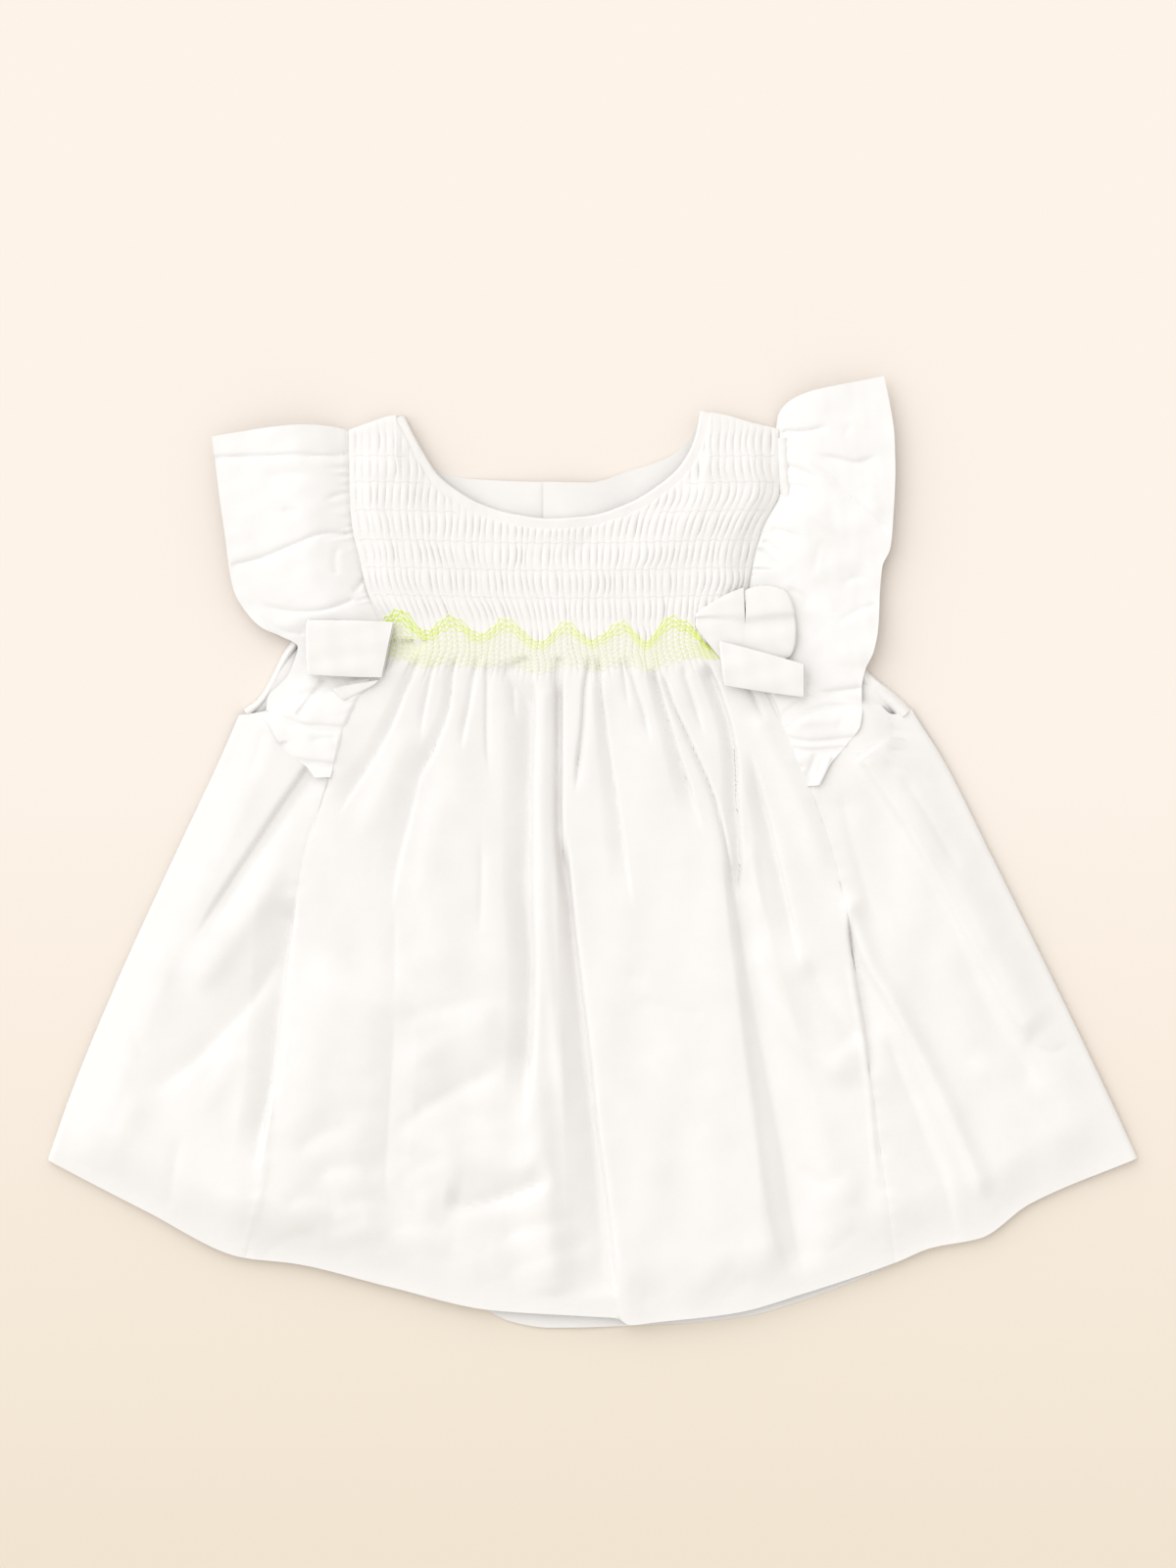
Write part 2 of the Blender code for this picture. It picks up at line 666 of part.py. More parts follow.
def armhole_binding(name, armhole, inward, material):
    """A rounded strip on the back's armhole edge, from under the ruffle to the underarm."""
    outer, inner = [], []
    for along in even(ARMHOLE_BINDING_ROWS):
        y = mix(ARMHOLE_BINDING_TOP_Y, UNDERARM_Y, along)
        upper, under = [], []
        for share in even(BINDING_FACETS):
            x = armhole(y) + inward * share
            under.append((x, y, STACK_GAP))
            upper.append((x, y, STACK_GAP + binding_height(share)))
        outer.append(upper)
        inner.append(under)
    return wall_object(name, outer, inner, material)


def bow_loop(loop, material):
    """A band folded over at its tip, with its two legs open towards the knot."""
    radius = loop.height / 2
    outer, inner = [], []
    legs = [(share, -1) for share in LOOP_LEG] + [(1.0, angle) for angle in (-90, -45, 0, 45, 90)]
    legs += [(share, 1) for share in reversed(LOOP_LEG)]
    for share, turn in legs:
        for skin, reach in ((outer, radius), (inner, radius - LOOP_WALL)):
            row = []
            for j in range(LOOP_COLUMNS + 1):
                k = j / LOOP_COLUMNS
                knot = Vector(loop.knot_top).lerp(Vector(loop.knot_foot), k)
                tip = Vector(loop.tip_top).lerp(Vector(loop.tip_foot), k)
                along = (tip - knot).normalized()
                end = tip - along * radius
                at = knot.lerp(end, share)
                side = turn if share < 1 else math.sin(math.radians(turn))
                if share == 1.0:
                    at = at + along * reach * math.cos(math.radians(turn))
                lift = loop.sag * math.sin(math.pi * share * 0.8) * (side > 0)
                row.append((at.x, at.y, loop.low + radius + side * reach + lift))
            skin.append(row)
    return wall_object(loop.name, outer, inner, material)


def knot(name, x, y, low, material):
    """The short band round the middle of a bow."""
    work = bmesh.new()
    bmesh.ops.create_cube(work, size=1.0)
    for vert in work.verts:
        vert.co = Vector([vert.co[i] * KNOT_SIZE[i] * MM for i in range(3)])
    bmesh.ops.bevel(work, geom=work.edges[:], offset=0.9 * MM, segments=2, affect="EDGES", profile=0.5)
    mesh = bpy.data.meshes.new(name)
    work.to_mesh(mesh)
    work.free()
    mesh.shade_smooth()
    made = add_object(name, mesh, material)
    made.location = (x * MM, y * MM, (low + KNOT_SIZE[2] / 2) * MM)
    return made


def button(name, y, material):
    """A flat round button under the placket, with a softened rim."""
    work = bmesh.new()
    bmesh.ops.create_cone(
        work, cap_ends=True, segments=16, radius1=BUTTON_RADIUS * MM, radius2=BUTTON_RADIUS * MM,
        depth=BUTTON_THICK * MM,
    )
    rims = [e for e in work.edges if len(e.link_faces) == 2 and any(len(f.verts) > 4 for f in e.link_faces)]
    bmesh.ops.bevel(work, geom=rims, offset=0.4 * MM, segments=1, affect="EDGES")
    mesh = bpy.data.meshes.new(name)
    work.to_mesh(mesh)
    work.free()
    mesh.shade_smooth()
    mesh.set_sharp_from_angle(angle=math.radians(40))
    made = add_object(name, mesh, material)
    made.location = (PLACKET_X * MM, y * MM, BUTTON_THICK / 2 * MM)
    return made


def build():
    for old in list(bpy.data.objects):
        bpy.data.objects.remove(old)
    white = (0.95, 0.945, 0.93)
    cloth = cotton("white cotton", white)
    pearl = cotton("button", (0.93, 0.92, 0.88))
    front_panel(cloth)
    side_fronts(cloth)
    back_halves(cloth)
    ruffle("ruffle_left", RUFFLE_LEFT, lambda y: seam_left(y) - 4 * SEAM_GAP, cloth)
    ruffle("ruffle_right", RUFFLE_RIGHT, lambda y: seam_right(y) + 4 * SEAM_GAP, cloth)
    neck_binding(cloth)
    armhole_binding("armhole_binding_left", armhole_left, ARMHOLE_BINDING_WIDTH, cloth)
    armhole_binding("armhole_binding_right", armhole_right, -ARMHOLE_BINDING_WIDTH, cloth)
    for loop in LOOPS:
        bow_loop(loop, cloth)
    for name, (x, y, low) in KNOTS.items():
        knot(name, x, y, low, cloth)
    for i, y in enumerate(BUTTON_YS):
        button(f"button_{i + 1}", y, pearl)


build()
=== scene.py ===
"""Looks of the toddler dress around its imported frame: cloth, smocking, embroidery, bows, light and camera.

Tables in photo pixels give where a crease, a stitch or a flap lies in the photograph, whose camera looks
straight down: at() turns them into millimetres of the row frame. All other sizes are in millimetres.
"""

import math
from collections import namedtuple

import bmesh
import bpy
import numpy as np
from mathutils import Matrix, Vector


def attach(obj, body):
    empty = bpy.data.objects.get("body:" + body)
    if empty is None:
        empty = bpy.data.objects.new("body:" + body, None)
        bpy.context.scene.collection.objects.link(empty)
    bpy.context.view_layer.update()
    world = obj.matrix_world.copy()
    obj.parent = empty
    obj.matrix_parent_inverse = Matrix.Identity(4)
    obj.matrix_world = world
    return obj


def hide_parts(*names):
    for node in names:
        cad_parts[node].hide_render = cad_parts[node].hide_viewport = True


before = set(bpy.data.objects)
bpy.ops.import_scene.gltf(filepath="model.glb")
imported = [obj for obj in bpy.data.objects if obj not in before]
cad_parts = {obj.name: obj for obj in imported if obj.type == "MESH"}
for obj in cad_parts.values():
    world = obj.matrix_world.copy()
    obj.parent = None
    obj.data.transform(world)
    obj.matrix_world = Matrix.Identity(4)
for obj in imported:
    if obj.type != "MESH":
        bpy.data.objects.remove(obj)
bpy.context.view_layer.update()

MM = 0.001
PX = 0.45  # one photo pixel
PHOTO_HEIGHT = 1600  # pixels
PHOTO_X0, PHOTO_Y0 = 605, 870  # the pixel over the frame's origin
PHOTO_MIDDLE = (600, 800)

# The solids' own levels, as in the part's source
WALL = 1.2
STACK_GAP = 0.3
PLEATS = 58
PLEAT_HEIGHT = 2.1
SMOCK_BOTTOM_Y = 84.0
SIDE_TOP_Y = 97.0  # the centre front is sewn to the ruffles above, and to the side fronts below
PLACKET_X = -22.0
PLACKET_HALF_LAP = 8.0
PLACKET_END_Y = 82.0
LAP_START = 6.0
BUTTON_THICK = 1.6
PLACKET_LIFT = BUTTON_THICK + STACK_GAP
NECK_BINDING_WIDTH = 5.0

# The cloth that shows
CLOTH = 0.45  # one layer of cotton
TURNED = 1.0  # cloth at a hem, where it lies double
HEM_EDGE = (8, 9.5)  # the turning thins out between these distances from a hem's edge
FOLD_DEPTH = 1.2  # how much deeper the skirt's folds are made than their table says
ROLL_HEIGHT, ROLL_WIDTH = 2.0, 3.2  # the rounded fold along the side seams

# A crease along photo pixels: how far it reaches to the walker's left and right hand (or a pair, at its start
# and at its end), its height, how slowly it starts and ends, the half-width of its flat bottom, all in mm,
# and how much of a hollow's side is one even slope, which at 1 starts at a crisp line
Crease = namedtuple("Crease", "path lefthand righthand height start end flat ramp", defaults=(0, 0))

# y of a level across the dress, and x of the line there on the left and on the right

FRONT_SEAMS = [
    (202, -112, 85), (166, -111.5, 85.5), (150, -110.4, 78), (135, -107, 73.4), (120, -103.5, 71),
    (104, -96.5, 68.4), (97, -95.9, 68), (83, -99.5, 72.9), (70, -108, 83), (57, -114, 87.8), (30, -122, 99),
    (0, -132, 109.4), (-27, -136.3, 115.7), (-94, -142, 125.5), (-158, -152.6, 134.1), (-190, -160, 138.6),
]
SIDES = [
    (100, -146, 130), (65, -161.5, 146.8), (43, -171, 160.5), (0, -191.2, 182.2), (-54, -216, 209),
    (-108, -238.5, 235), (-140, -249.8, 249.8),
]
ARMHOLES = [
    (202, -117.4, 90.8), (175, -117.8, 91.6), (153, -119.5, 94.5), (130, -123, 98), (108, -131, 105.5),
    (92, -142, 117), (80, -148, 130), (71, -153.5, 141), (65, -161.5, 146.8),
]
SHOULDERS = [
    (-114, 193), (-103.5, 196.7), (-92, 200.2), (-84, 200.8), (47, 202.5), (58.5, 200.7), (70, 197.6),
    (86, 194),
]
FRONT_NECK = [
    (-86.4, 200.4), (-82.4, 192), (-77.4, 183), (-71, 173.2), (-63, 166.5), (-51.8, 160), (-36, 155),
    (-20, 153), (-2, 154.3), (16, 160), (30, 168.3), (40.5, 178), (46.6, 190), (49.1, 202.2),
]
BACK_NECK = [
    (-86.4, 200.4), (-79, 185), (-70, 174.5), (-56, 171.5), (-25, 170), (-2, 169.7), (16, 175), (34, 181.3),
    (43, 188), (47.5, 195), (49.1, 202.2),
]
FRONT_HEM = [
    (-249.8, -140.8), (-205, -164), (-160, -185.4), (-137, -188), (-92, -199), (-47, -209.2), (-2, -212),
    (11, -212.8), (17, -216), (29, -214.7), (65, -210.6), (97, -201.6), (138.6, -187.7), (155, -181),
    (178, -176.4), (200, -161), (249.8, -139.8),
]
BACK_HEM = [
    (-249.8, -140.8), (-205, -163.6), (-160, -183.8), (-115, -190), (-70, -203), (-52, -208.3), (-38, -215),
    (-20, -217.9), (43, -215.8), (70, -212.8), (97, -205.2), (124, -195), (155, -181.5), (178, -176.4),
    (200, -161), (249.8, -139.8),
]
SIDE_TOP_LEFT = [(-162, 63), (-150, 65), (-135, 73), (-118, 86), (-96, 97)]
SIDE_TOP_RIGHT = [(68, 97), (90, 90), (108, 81), (122, 74.5), (130, 69.5), (137, 63.5), (143, 64), (148, 68)]
DOME = [
    (202, 5), (150, 4.6), (120, 4.4), (84, 5.4), (60, 7), (20, 7), (-40, 7.2), (-90, 7.6), (-150, 7.4),
    (-200, 6.2), (-216, 5.4),
]

# Folds of the skirt, each a Crease from its top: on a path that runs down, the left hand is on the right
SKIRT_FOLDS = [
    # furrows between the gathers, from left to right
    ([(432, 668), (422, 690), (413, 710), (402, 738), (388, 765), (372, 790), (356, 815), (344, 836)], 0.9,
     (4.5, 9), -2.6, 8, 26, 0, 0.5),
    ([(446, 672), (439, 700), (433, 730), (430, 758)], 0.9, 2.4, -1.3, 6, 16),
    ([(468, 668), (463, 690), (459, 722), (452, 745), (441, 770), (431, 790), (424, 814)], 0.8, (3.6, 7),
     -2.6, 7, 22, 0, 0.4),
    ([(430, 790), (416, 845), (406, 885), (399, 935)], 2, 9, -1.3, 20, 26, 0, 0.6),
    ([(489, 668), (484, 692), (480, 717), (475, 742), (471, 768)], 1, 2.6, -1.6, 6, 14),
    ([(497, 672), (497, 700), (497, 760), (502, 800)], 2.5, 1.2, -1.1, 6, 22),
    ([(546, 880), (549, 960), (548, 1050), (543, 1120)], 4, 1.6, 1, 14, 20),
    ([(524, 676), (524, 700), (527, 740)], 1.2, 2.2, -1, 5, 12),
    ([(537, 668), (541, 690), (544, 712), (543, 760), (541, 810), (541, 850), (540, 904), (543, 979),
     (541, 1044), (537, 1100), (534, 1152)], (0.8, 2.4), (14, 9), -6.3, 7, 34, 0.3, 0.4),
    ([(570, 668), (571, 700), (571, 780), (571, 840), (574, 880), (579, 925)], 0.6, 1.6, -4.4, 7, 26, 0.9),
    ([(577, 850), (581, 900), (587, 960), (594, 1020), (602, 1090), (608, 1150), (614, 1195), (620, 1245),
     (628, 1320)], (0.9, 1.8), (4, 21), -7.4, 24, 6, 0.2, 0.7),
    ([(540, 1070), (546, 1130), (553, 1190), (560, 1260), (566, 1320)], 8, 10, 3.2, 20, 4),
    ([(599, 668), (596, 700), (594, 740), (590, 775), (586, 812)], 3, 0.8, -2, 7, 16),
    ([(611, 668), (613, 700), (617, 730), (622, 770), (628, 806), (634, 850), (640, 888), (645, 925)], 0.7,
     (3.6, 10), -2.8, 7, 30, 0, 0.6),
    ([(632, 670), (637, 695), (643, 728)], 1.2, 1.8, -1.1, 5, 12),
    ([(640, 668), (648, 700), (656, 725), (664, 758)], 1, 2, -1.5, 6, 12),
    ([(665, 680), (670, 697), (677, 722), (685, 748), (693, 775), (703, 805), (716, 850)], 0.7, (3.6, 9),
     -3.6, 7, 26, 0.2, 0.6),
    ([(676, 688), (688, 722), (700, 748), (712, 775), (722, 797), (731, 822), (738, 850), (744, 880),
     (749, 912)], 0.7, 1.8, -2, 6, 14),
    ([(694, 676), (699, 692), (708, 718), (719, 754)], 1.4, 2.2, -1.5, 6, 14),
    ([(719, 676), (727, 694), (737, 720), (745, 748), (749, 780), (750, 820), (753, 860), (753, 888),
     (747, 918)], 0.6, (5, 7), -4.2, 7, 16, 0.6, 0.5),
    ([(760, 694), (769, 712), (781, 738)], 1.2, 2.2, -1.6, 3, 12),
    ([(763, 765), (772, 800), (783, 843), (792, 880), (800, 915), (808, 950), (815, 990)], 1.8, (5, 12),
     -3.4, 20, 26, 0.3, 0.7),
    ([(492, 850), (492, 900), (490, 960)], 2.4, 2.4, -0.8, 16, 18),
    ([(404, 915), (404, 965), (404, 1030)], 2, 5, -0.5, 18, 18),
    # the puffs between them
    ([(424, 740), (404, 785), (384, 825), (362, 870)], 8, 6, 1.2, 10, 20),
    ([(452, 800), (444, 840), (436, 885), (430, 935)], 7, 5, 0.8, 14, 24),
    ([(556, 700), (554, 760), (553, 867), (562, 1000), (573, 1100), (578, 1170)], 3.2, 3, 0.8, 6, 40),
    ([(581, 850), (584, 900), (590, 960), (597, 1020), (605, 1090), (611, 1150), (617, 1195), (623, 1245),
     (632, 1320), (636, 1346)], 18, 0.9, 1, 20, 2),
    ([(768, 722), (790, 770), (812, 815), (830, 860), (846, 905)], 6, 5, 2, 10, 20),
    ([(764, 850), (770, 900), (778, 945)], 2.6, 2.6, 0.8, 10, 12),
    # the long fold right of the middle, and the hollow beyond it
    ([(743, 892), (745, 920), (748, 960), (751, 1000), (757, 1060), (765, 1120), (772, 1180), (779, 1230),
     (787, 1264), (800, 1306)], 3, (16, 28), 1.2, 30, 14),
    ([(747, 872), (750, 905), (757, 950), (766, 1000), (777, 1060), (788, 1120), (798, 1170), (806, 1220),
     (813, 1262), (822, 1306)], (8, 26), (3.4, 16), -4.4, 16, 14, 0.8, 0.85),
    ([(760, 950), (783, 1008), (813, 1055), (848, 1086), (882, 1098)], 8, 6.5, 2.4, 16, 16),
    ([(820, 976), (840, 1010), (858, 1040), (878, 1066)], 5, 11, -2.4, 12, 8),
    # the right side
    ([(862, 912), (872, 950), (886, 985), (906, 1018), (931, 1062), (954, 1108), (976, 1155), (994, 1196),
     (1006, 1226)], 5, 2.6, 2.8, 6, 12),
    ([(864, 925), (868, 960), (875, 1000), (882, 1040), (887, 1075), (886, 1104)], (4.5, 6), 0.8, -2.2, 12,
     18, 0.6),
    ([(900, 1050), (926, 1110), (946, 1160), (964, 1210), (976, 1266)], 2.6, (5, 13), -2.2, 14, 2),
    ([(864, 975), (875, 1040), (884, 1100), (889, 1160), (894, 1215)], 1.6, 1.6, 0.6, 10, 20),
    ([(876, 768), (892, 792), (912, 822), (935, 858), (958, 898), (982, 942), (1004, 982), (1030, 1028),
     (1054, 1060)], (12, 26), 2.8, 3.5, 4, 10),
    ([(915, 786), (938, 822), (962, 862), (985, 898)], 6, 4, -1.4, 10, 16),
    ([(975, 960), (1002, 1015), (1025, 1055), (1045, 1085), (1060, 1116)], 2.6, 11, -2, 20, 14),
    ([(1044, 1058), (1058, 1068), (1076, 1071), (1094, 1060)], 1.8, 3.6, -1.1, 4, 5),
    ([(982, 1078), (1020, 1100), (1050, 1130), (1080, 1170), (1097, 1208)], 7, 6, 1.5, 12, 3),
    ([(856, 800), (866, 850), (880, 900), (896, 955)], 9, 6, -1.4, 12, 20),
    # the left side
    ([(322, 780), (308, 801), (292, 824), (276, 848), (260, 872), (243, 897), (222, 930), (200, 966)],
     (7, 6), 1.2, -2.8, 5, 34, 1.8),
    ([(296, 872), (270, 912), (247, 945), (222, 980), (190, 1010)], 7, 9, 2.2, 16, 14),
    ([(303, 912), (297, 950), (292, 985), (288, 1020), (284, 1060), (279, 1100), (270, 1142), (261, 1196)],
     (0.9, 3), (17, 9), -5.4, 12, 26, 0.3, 0.7),
    ([(290, 970), (262, 1016), (232, 1050), (196, 1085), (156, 1112)], 5, 15, -2.4, 18, 18),
    ([(281, 1116), (277, 1150), (270, 1205), (262, 1240), (251, 1274)], 2, 2, 0.6, 8, 2),
    ([(246, 1062), (228, 1100), (206, 1140)], 6, 5, 0.8, 10, 14),
    ([(150, 1110), (125, 1155), (108, 1200)], 6, 6, 0.9, 14, 6),
    ([(188, 1150), (180, 1200), (170, 1238)], 3, 6, -0.8, 12, 6),
]
# Wrinkles where the cloth has been pressed and handled: on a path that runs right, the left hand is above
WRINKLES = [
    ([(404, 996), (440, 982), (480, 978), (530, 984)], 9, 8, 0.6, 8, 12),
    ([(406, 1040), (440, 1030), (480, 1021), (524, 1012)], 12, 7, -1.6, 10, 20, 0, 0.7),
    ([(420, 1086), (450, 1064), (480, 1050), (512, 1032)], 5, 10, 0.9, 10, 10),
    ([(397, 1158), (428, 1134), (462, 1112), (496, 1096), (520, 1084)], (14, 8), 9, -2.4, 12, 16, 0, 0.7),
    ([(404, 1014), (403, 1060), (400, 1110), (397, 1160), (395, 1200), (399, 1236)], 11, (28, 14), -2.6, 24,
     28, 0, 0.9),
    ([(380, 975), (362, 1030), (340, 1085), (318, 1140), (300, 1190), (286, 1250), (276, 1330)], 48,
     (24, 60), 6.4, 20, 2),
    ([(300, 1178), (322, 1158), (348, 1148), (376, 1150)], 12, 8, -1.5, 10, 12, 0, 0.7),
    ([(452, 1224), (480, 1228), (505, 1223), (532, 1213), (566, 1199)], (16, 9), 4.6, -4.6, 8, 10, 0, 0.7),
    ([(450, 1188), (480, 1172), (515, 1178), (548, 1194)], 9, 8, 0.9, 6, 6),
    ([(505, 1264), (540, 1250), (575, 1244), (604, 1246)], 10, 5, -1.5, 10, 12, 0, 0.7),
    ([(508, 1302), (545, 1284), (580, 1272), (612, 1264)], 10, 6, -1.2, 10, 10, 0, 0.7),
    ([(404, 1204), (432, 1186), (462, 1176)], 12, 6, -1.3, 8, 12, 0, 0.7),
    ([(292, 1232), (312, 1216), (335, 1222), (352, 1240)], 7, 4.6, -0.8, 6, 6, 0, 0.6),
    ([(262, 1288), (284, 1268), (306, 1258), (332, 1258)], 2.6, 7, -1.5, 4, 8),
    ([(384, 1258), (430, 1246), (476, 1256)], 10, 6, -1, 10, 12, 0, 0.5),
    ([(398, 1290), (440, 1280), (488, 1290)], 8, 6, -0.8, 10, 12, 0, 0.5),
    ([(340, 1280), (372, 1268), (402, 1274)], 7, 4.6, -0.7, 8, 8, 0, 0.5),
    ([(322, 1200), (344, 1188), (372, 1190), (392, 1200)], 10, 5, -1.2, 8, 8, 0, 0.6),
    ([(420, 1132), (446, 1126), (470, 1132), (496, 1146)], 8, 5, -0.9, 6, 10, 0, 0.5),
    ([(348, 1226), (380, 1222), (412, 1230), (440, 1228)], 9, 5, -1, 8, 8, 0, 0.5),
    ([(452, 1262), (478, 1272), (506, 1278)], 7, 4.6, -0.7, 6, 6, 0, 0.5),
    ([(330, 1256), (352, 1246), (378, 1242)], 7, 4.6, -0.7, 6, 6, 0, 0.5),
    ([(484, 1316), (500, 1308), (520, 1310)], 3.4, 2.4, -0.7, 5, 6),
    ([(652, 1334), (668, 1317), (692, 1310)], 3, 4, -0.5, 3, 6),
    ([(698, 1338), (722, 1300), (750, 1266)], 6, 5, 0.7, 4, 12),
    ([(733, 1334), (752, 1312), (772, 1298)], 3.6, 4.6, -0.7, 3, 8),
    ([(640, 985), (648, 996), (662, 1000)], 3, 3, -0.5, 4, 4),
    ([(640, 1030), (662, 1022), (700, 1030), (722, 1034)], 3, 7, -0.6, 8, 8),
    ([(812, 1186), (838, 1204), (866, 1190)], 4, 5, -0.9, 8, 8),
    ([(826, 1240), (855, 1214), (884, 1216)], 6, 6, 1, 8, 10),
    ([(840, 1286), (862, 1262), (880, 1250)], 4, 5, -0.9, 4, 8),
    ([(903, 742), (930, 747), (962, 750)], 1.3, 1.6, -1.1, 4, 6),
    ([(900, 753), (930, 756), (964, 764)], 1.2, 1.2, 0.7, 4, 6),
    ([(902, 764), (930, 766), (968, 778)], 1.4, 1.8, -1, 4, 6),
    ([(898, 778), (925, 788), (952, 804)], 1.8, 2.4, -0.8, 4, 8),
    ([(270, 742), (262, 775), (250, 800)], 4, 4, -0.8, 4, 10),
    ([(120, 1010), (140, 1050), (150, 1090)], 5, 5, -0.7, 10, 14),
    ([(215, 860), (205, 890), (190, 915)], 5, 5, 0.6, 8, 10),
]

# Ruffles, from the shoulder to the tip below the bow: y on the seam, x and y of the free edge, and heights of
# the crest and of the edge
RUFFLE_LEFT = [
    (192.5, -174.2, 190.3, 9.4, 6.2), (183.6, -173, 181.3, 9.6, 6.4), (168.8, -170.6, 162, 10, 6.6),
    (155.2, -168.3, 146.2, 10.2, 6.8), (146, -166.5, 131.8, 9.9, 6.6), (135, -164.2, 120.2, 9.9, 6.6),
    (123.8, -158, 109.4, 9.4, 6.1), (116.1, -150.8, 102.6, 8.6, 6.9), (107.1, -142.5, 99, 7.2, 5.8),
    (97.5, -135, 94, 6.4, 5.2), (86, -139.1, 82, 6.6, 5), (74.2, -149, 70.6, 7, 5.2),
    (62.1, -149.4, 63.2, 6.4, 5.6), (54.5, -146.2, 55.6, 7, 6.8), (47.2, -140.8, 47.2, 6.4, 6.4),
    (39.6, -130.5, 39.1, 7, 6.8), (34.6, -127, 34.4, 6.2, 6),
]
RUFFLE_RIGHT = [
    (194.6, 133, 217.9, 7.6, 6.8), (187, 135.5, 206.1, 7.4, 6.4), (177.8, 137.7, 191.2, 7.8, 7),
    (166.2, 138.2, 175.5, 7.5, 6.6), (154, 137.2, 153, 8, 7.2), (145, 135.9, 139.5, 7.6, 6.6),
    (134.1, 132.2, 130.5, 7.5, 6.4), (123.8, 131.2, 119.2, 7, 6), (112.5, 130.5, 104.5, 7, 7),
    (99.5, 128.2, 92, 6.6, 8), (85.5, 124.4, 83.5, 6.4, 6.6), (75.2, 122.9, 75.6, 7, 7),
    (65.2, 122.9, 67, 6.4, 6.6), (56.4, 122, 58.4, 7.2, 7), (47.6, 115.7, 49.4, 6.8, 5.2),
    (38.2, 108.4, 40.6, 7.6, 4.6), (30.4, 103.4, 31, 7, 4.4),
]
RUFFLE_LEFT_FOLDS = [
    ([(358, 462), (340, 466), (300, 466), (260, 467), (220, 468)], 1.6, 0.9, -1.1, 1, 2),
    ([(358, 545), (330, 546), (304, 556), (269, 570), (237, 578)], 1.6, 1.3, -1.3, 1, 2),
    ([(358, 503), (345, 506), (331, 513)], 1.5, 1.2, -1.2, 1, 6),
    ([(288, 522), (300, 523), (310, 524)], 2, 2, -0.7, 3, 3),
    ([(346, 556), (343, 572), (345, 590)], 1.8, 1.8, -0.9, 4, 3),
    ([(372, 590), (366, 600), (360, 608)], 1.4, 1.4, -1.4, 1, 4),
    ([(362, 612), (350, 618), (330, 624), (304, 625), (283, 622), (266, 616)], 1.3, 1.6, -1.1, 1, 8),
    ([(312, 648), (296, 646), (280, 640), (266, 630)], 1.6, 2.4, -0.7, 1, 8),
    ([(262, 492), (290, 486), (325, 486)], 4, 4, -0.7, 8, 10),
    ([(333, 692), (318, 712), (304, 731)], 4, 1, -1.4, 1, 2),
    ([(272, 727), (290, 734), (313, 741), (354, 744)], 1.4, 2.2, -2, 1, 1),
    ([(286, 768), (310, 777), (345, 781)], 1.2, 2, -1.8, 1, 1),
    ([(298, 776), (294, 767), (290, 756)], 1.6, 1.6, -2.2, 1, 2),
    ([(300, 706), (318, 700), (332, 697)], 2.2, 2.2, 0.8, 3, 3),
    ([(316, 756), (330, 754), (346, 753)], 2, 2.4, -0.6, 4, 2),
]
RUFFLE_RIGHT_FOLDS = [
    ([(797, 441), (822, 441), (848, 435)], 0.9, 2, -1.2, 1, 9),
    ([(828, 465), (852, 469), (870, 473), (882, 471), (897, 465)], 1.2, 3, -1.2, 10, 8),
    ([(826, 472), (845, 488), (863, 506), (884, 524), (908, 544)], 1.1, 2.4, -1.2, 10, 6),
    ([(796, 474), (818, 482), (838, 494)], 1.4, 1.8, -1.2, 1, 8),
    ([(795, 496), (815, 498), (835, 506)], 1.4, 1.8, -0.8, 1, 8),
    ([(794, 512), (820, 522), (845, 538), (870, 548)], 3, 3, 0.8, 2, 14),
    ([(786, 540), (806, 546), (820, 556)], 1.6, 1.8, -0.9, 1, 8),
    ([(774, 560), (786, 572), (796, 584)], 1.3, 1.4, -1.3, 1, 6),
    ([(778, 552), (796, 566), (806, 580)], 1.4, 1.8, -0.9, 1, 8),
    ([(880, 596), (870, 590), (858, 600)], 2.2, 2.2, -0.7, 4, 5),
    ([(896, 617), (875, 623), (850, 638)], 1.8, 1.6, -0.8, 3, 8),
    ([(800, 600), (818, 610), (826, 626)], 2.2, 2.2, -1, 4, 6),
    ([(828, 640), (838, 660), (842, 680)], 3, 3, -0.6, 5, 8),
    ([(858, 450), (864, 440), (866, 430)], 2, 2, -0.5, 5, 5),
    ([(880, 500), (890, 515), (896, 530)], 4, 4, 0.5, 6, 6),
    ([(838, 548), (832, 570), (830, 590)], 2, 2, -0.5, 6, 6),
    ([(880, 702), (850, 706), (820, 714), (794, 734)], 2.2, 1.6, -1.8, 2, 2),
    ([(880, 722), (850, 723), (824, 728), (800, 742)], 1.2, 2.6, -1.8, 1, 2),
    ([(800, 754), (826, 757), (852, 755), (880, 753)], 1.4, 1.6, -1.5, 1, 1),
    ([(802, 764), (830, 766), (862, 764)], 1.2, 2.2, -1.6, 1, 1),
    ([(866, 776), (868, 764), (868, 752)], 1.8, 1.8, -2.4, 1, 2),
    ([(846, 770), (838, 790), (828, 810)], 1.6, 1.2, 1.2, 2, 1),
    ([(832, 768), (826, 784), (822, 800)], 1.6, 1.6, -1.4, 2, 1),
    ([(810, 738), (835, 736), (858, 736)], 2.4, 2.4, 0.7, 3, 4),
]

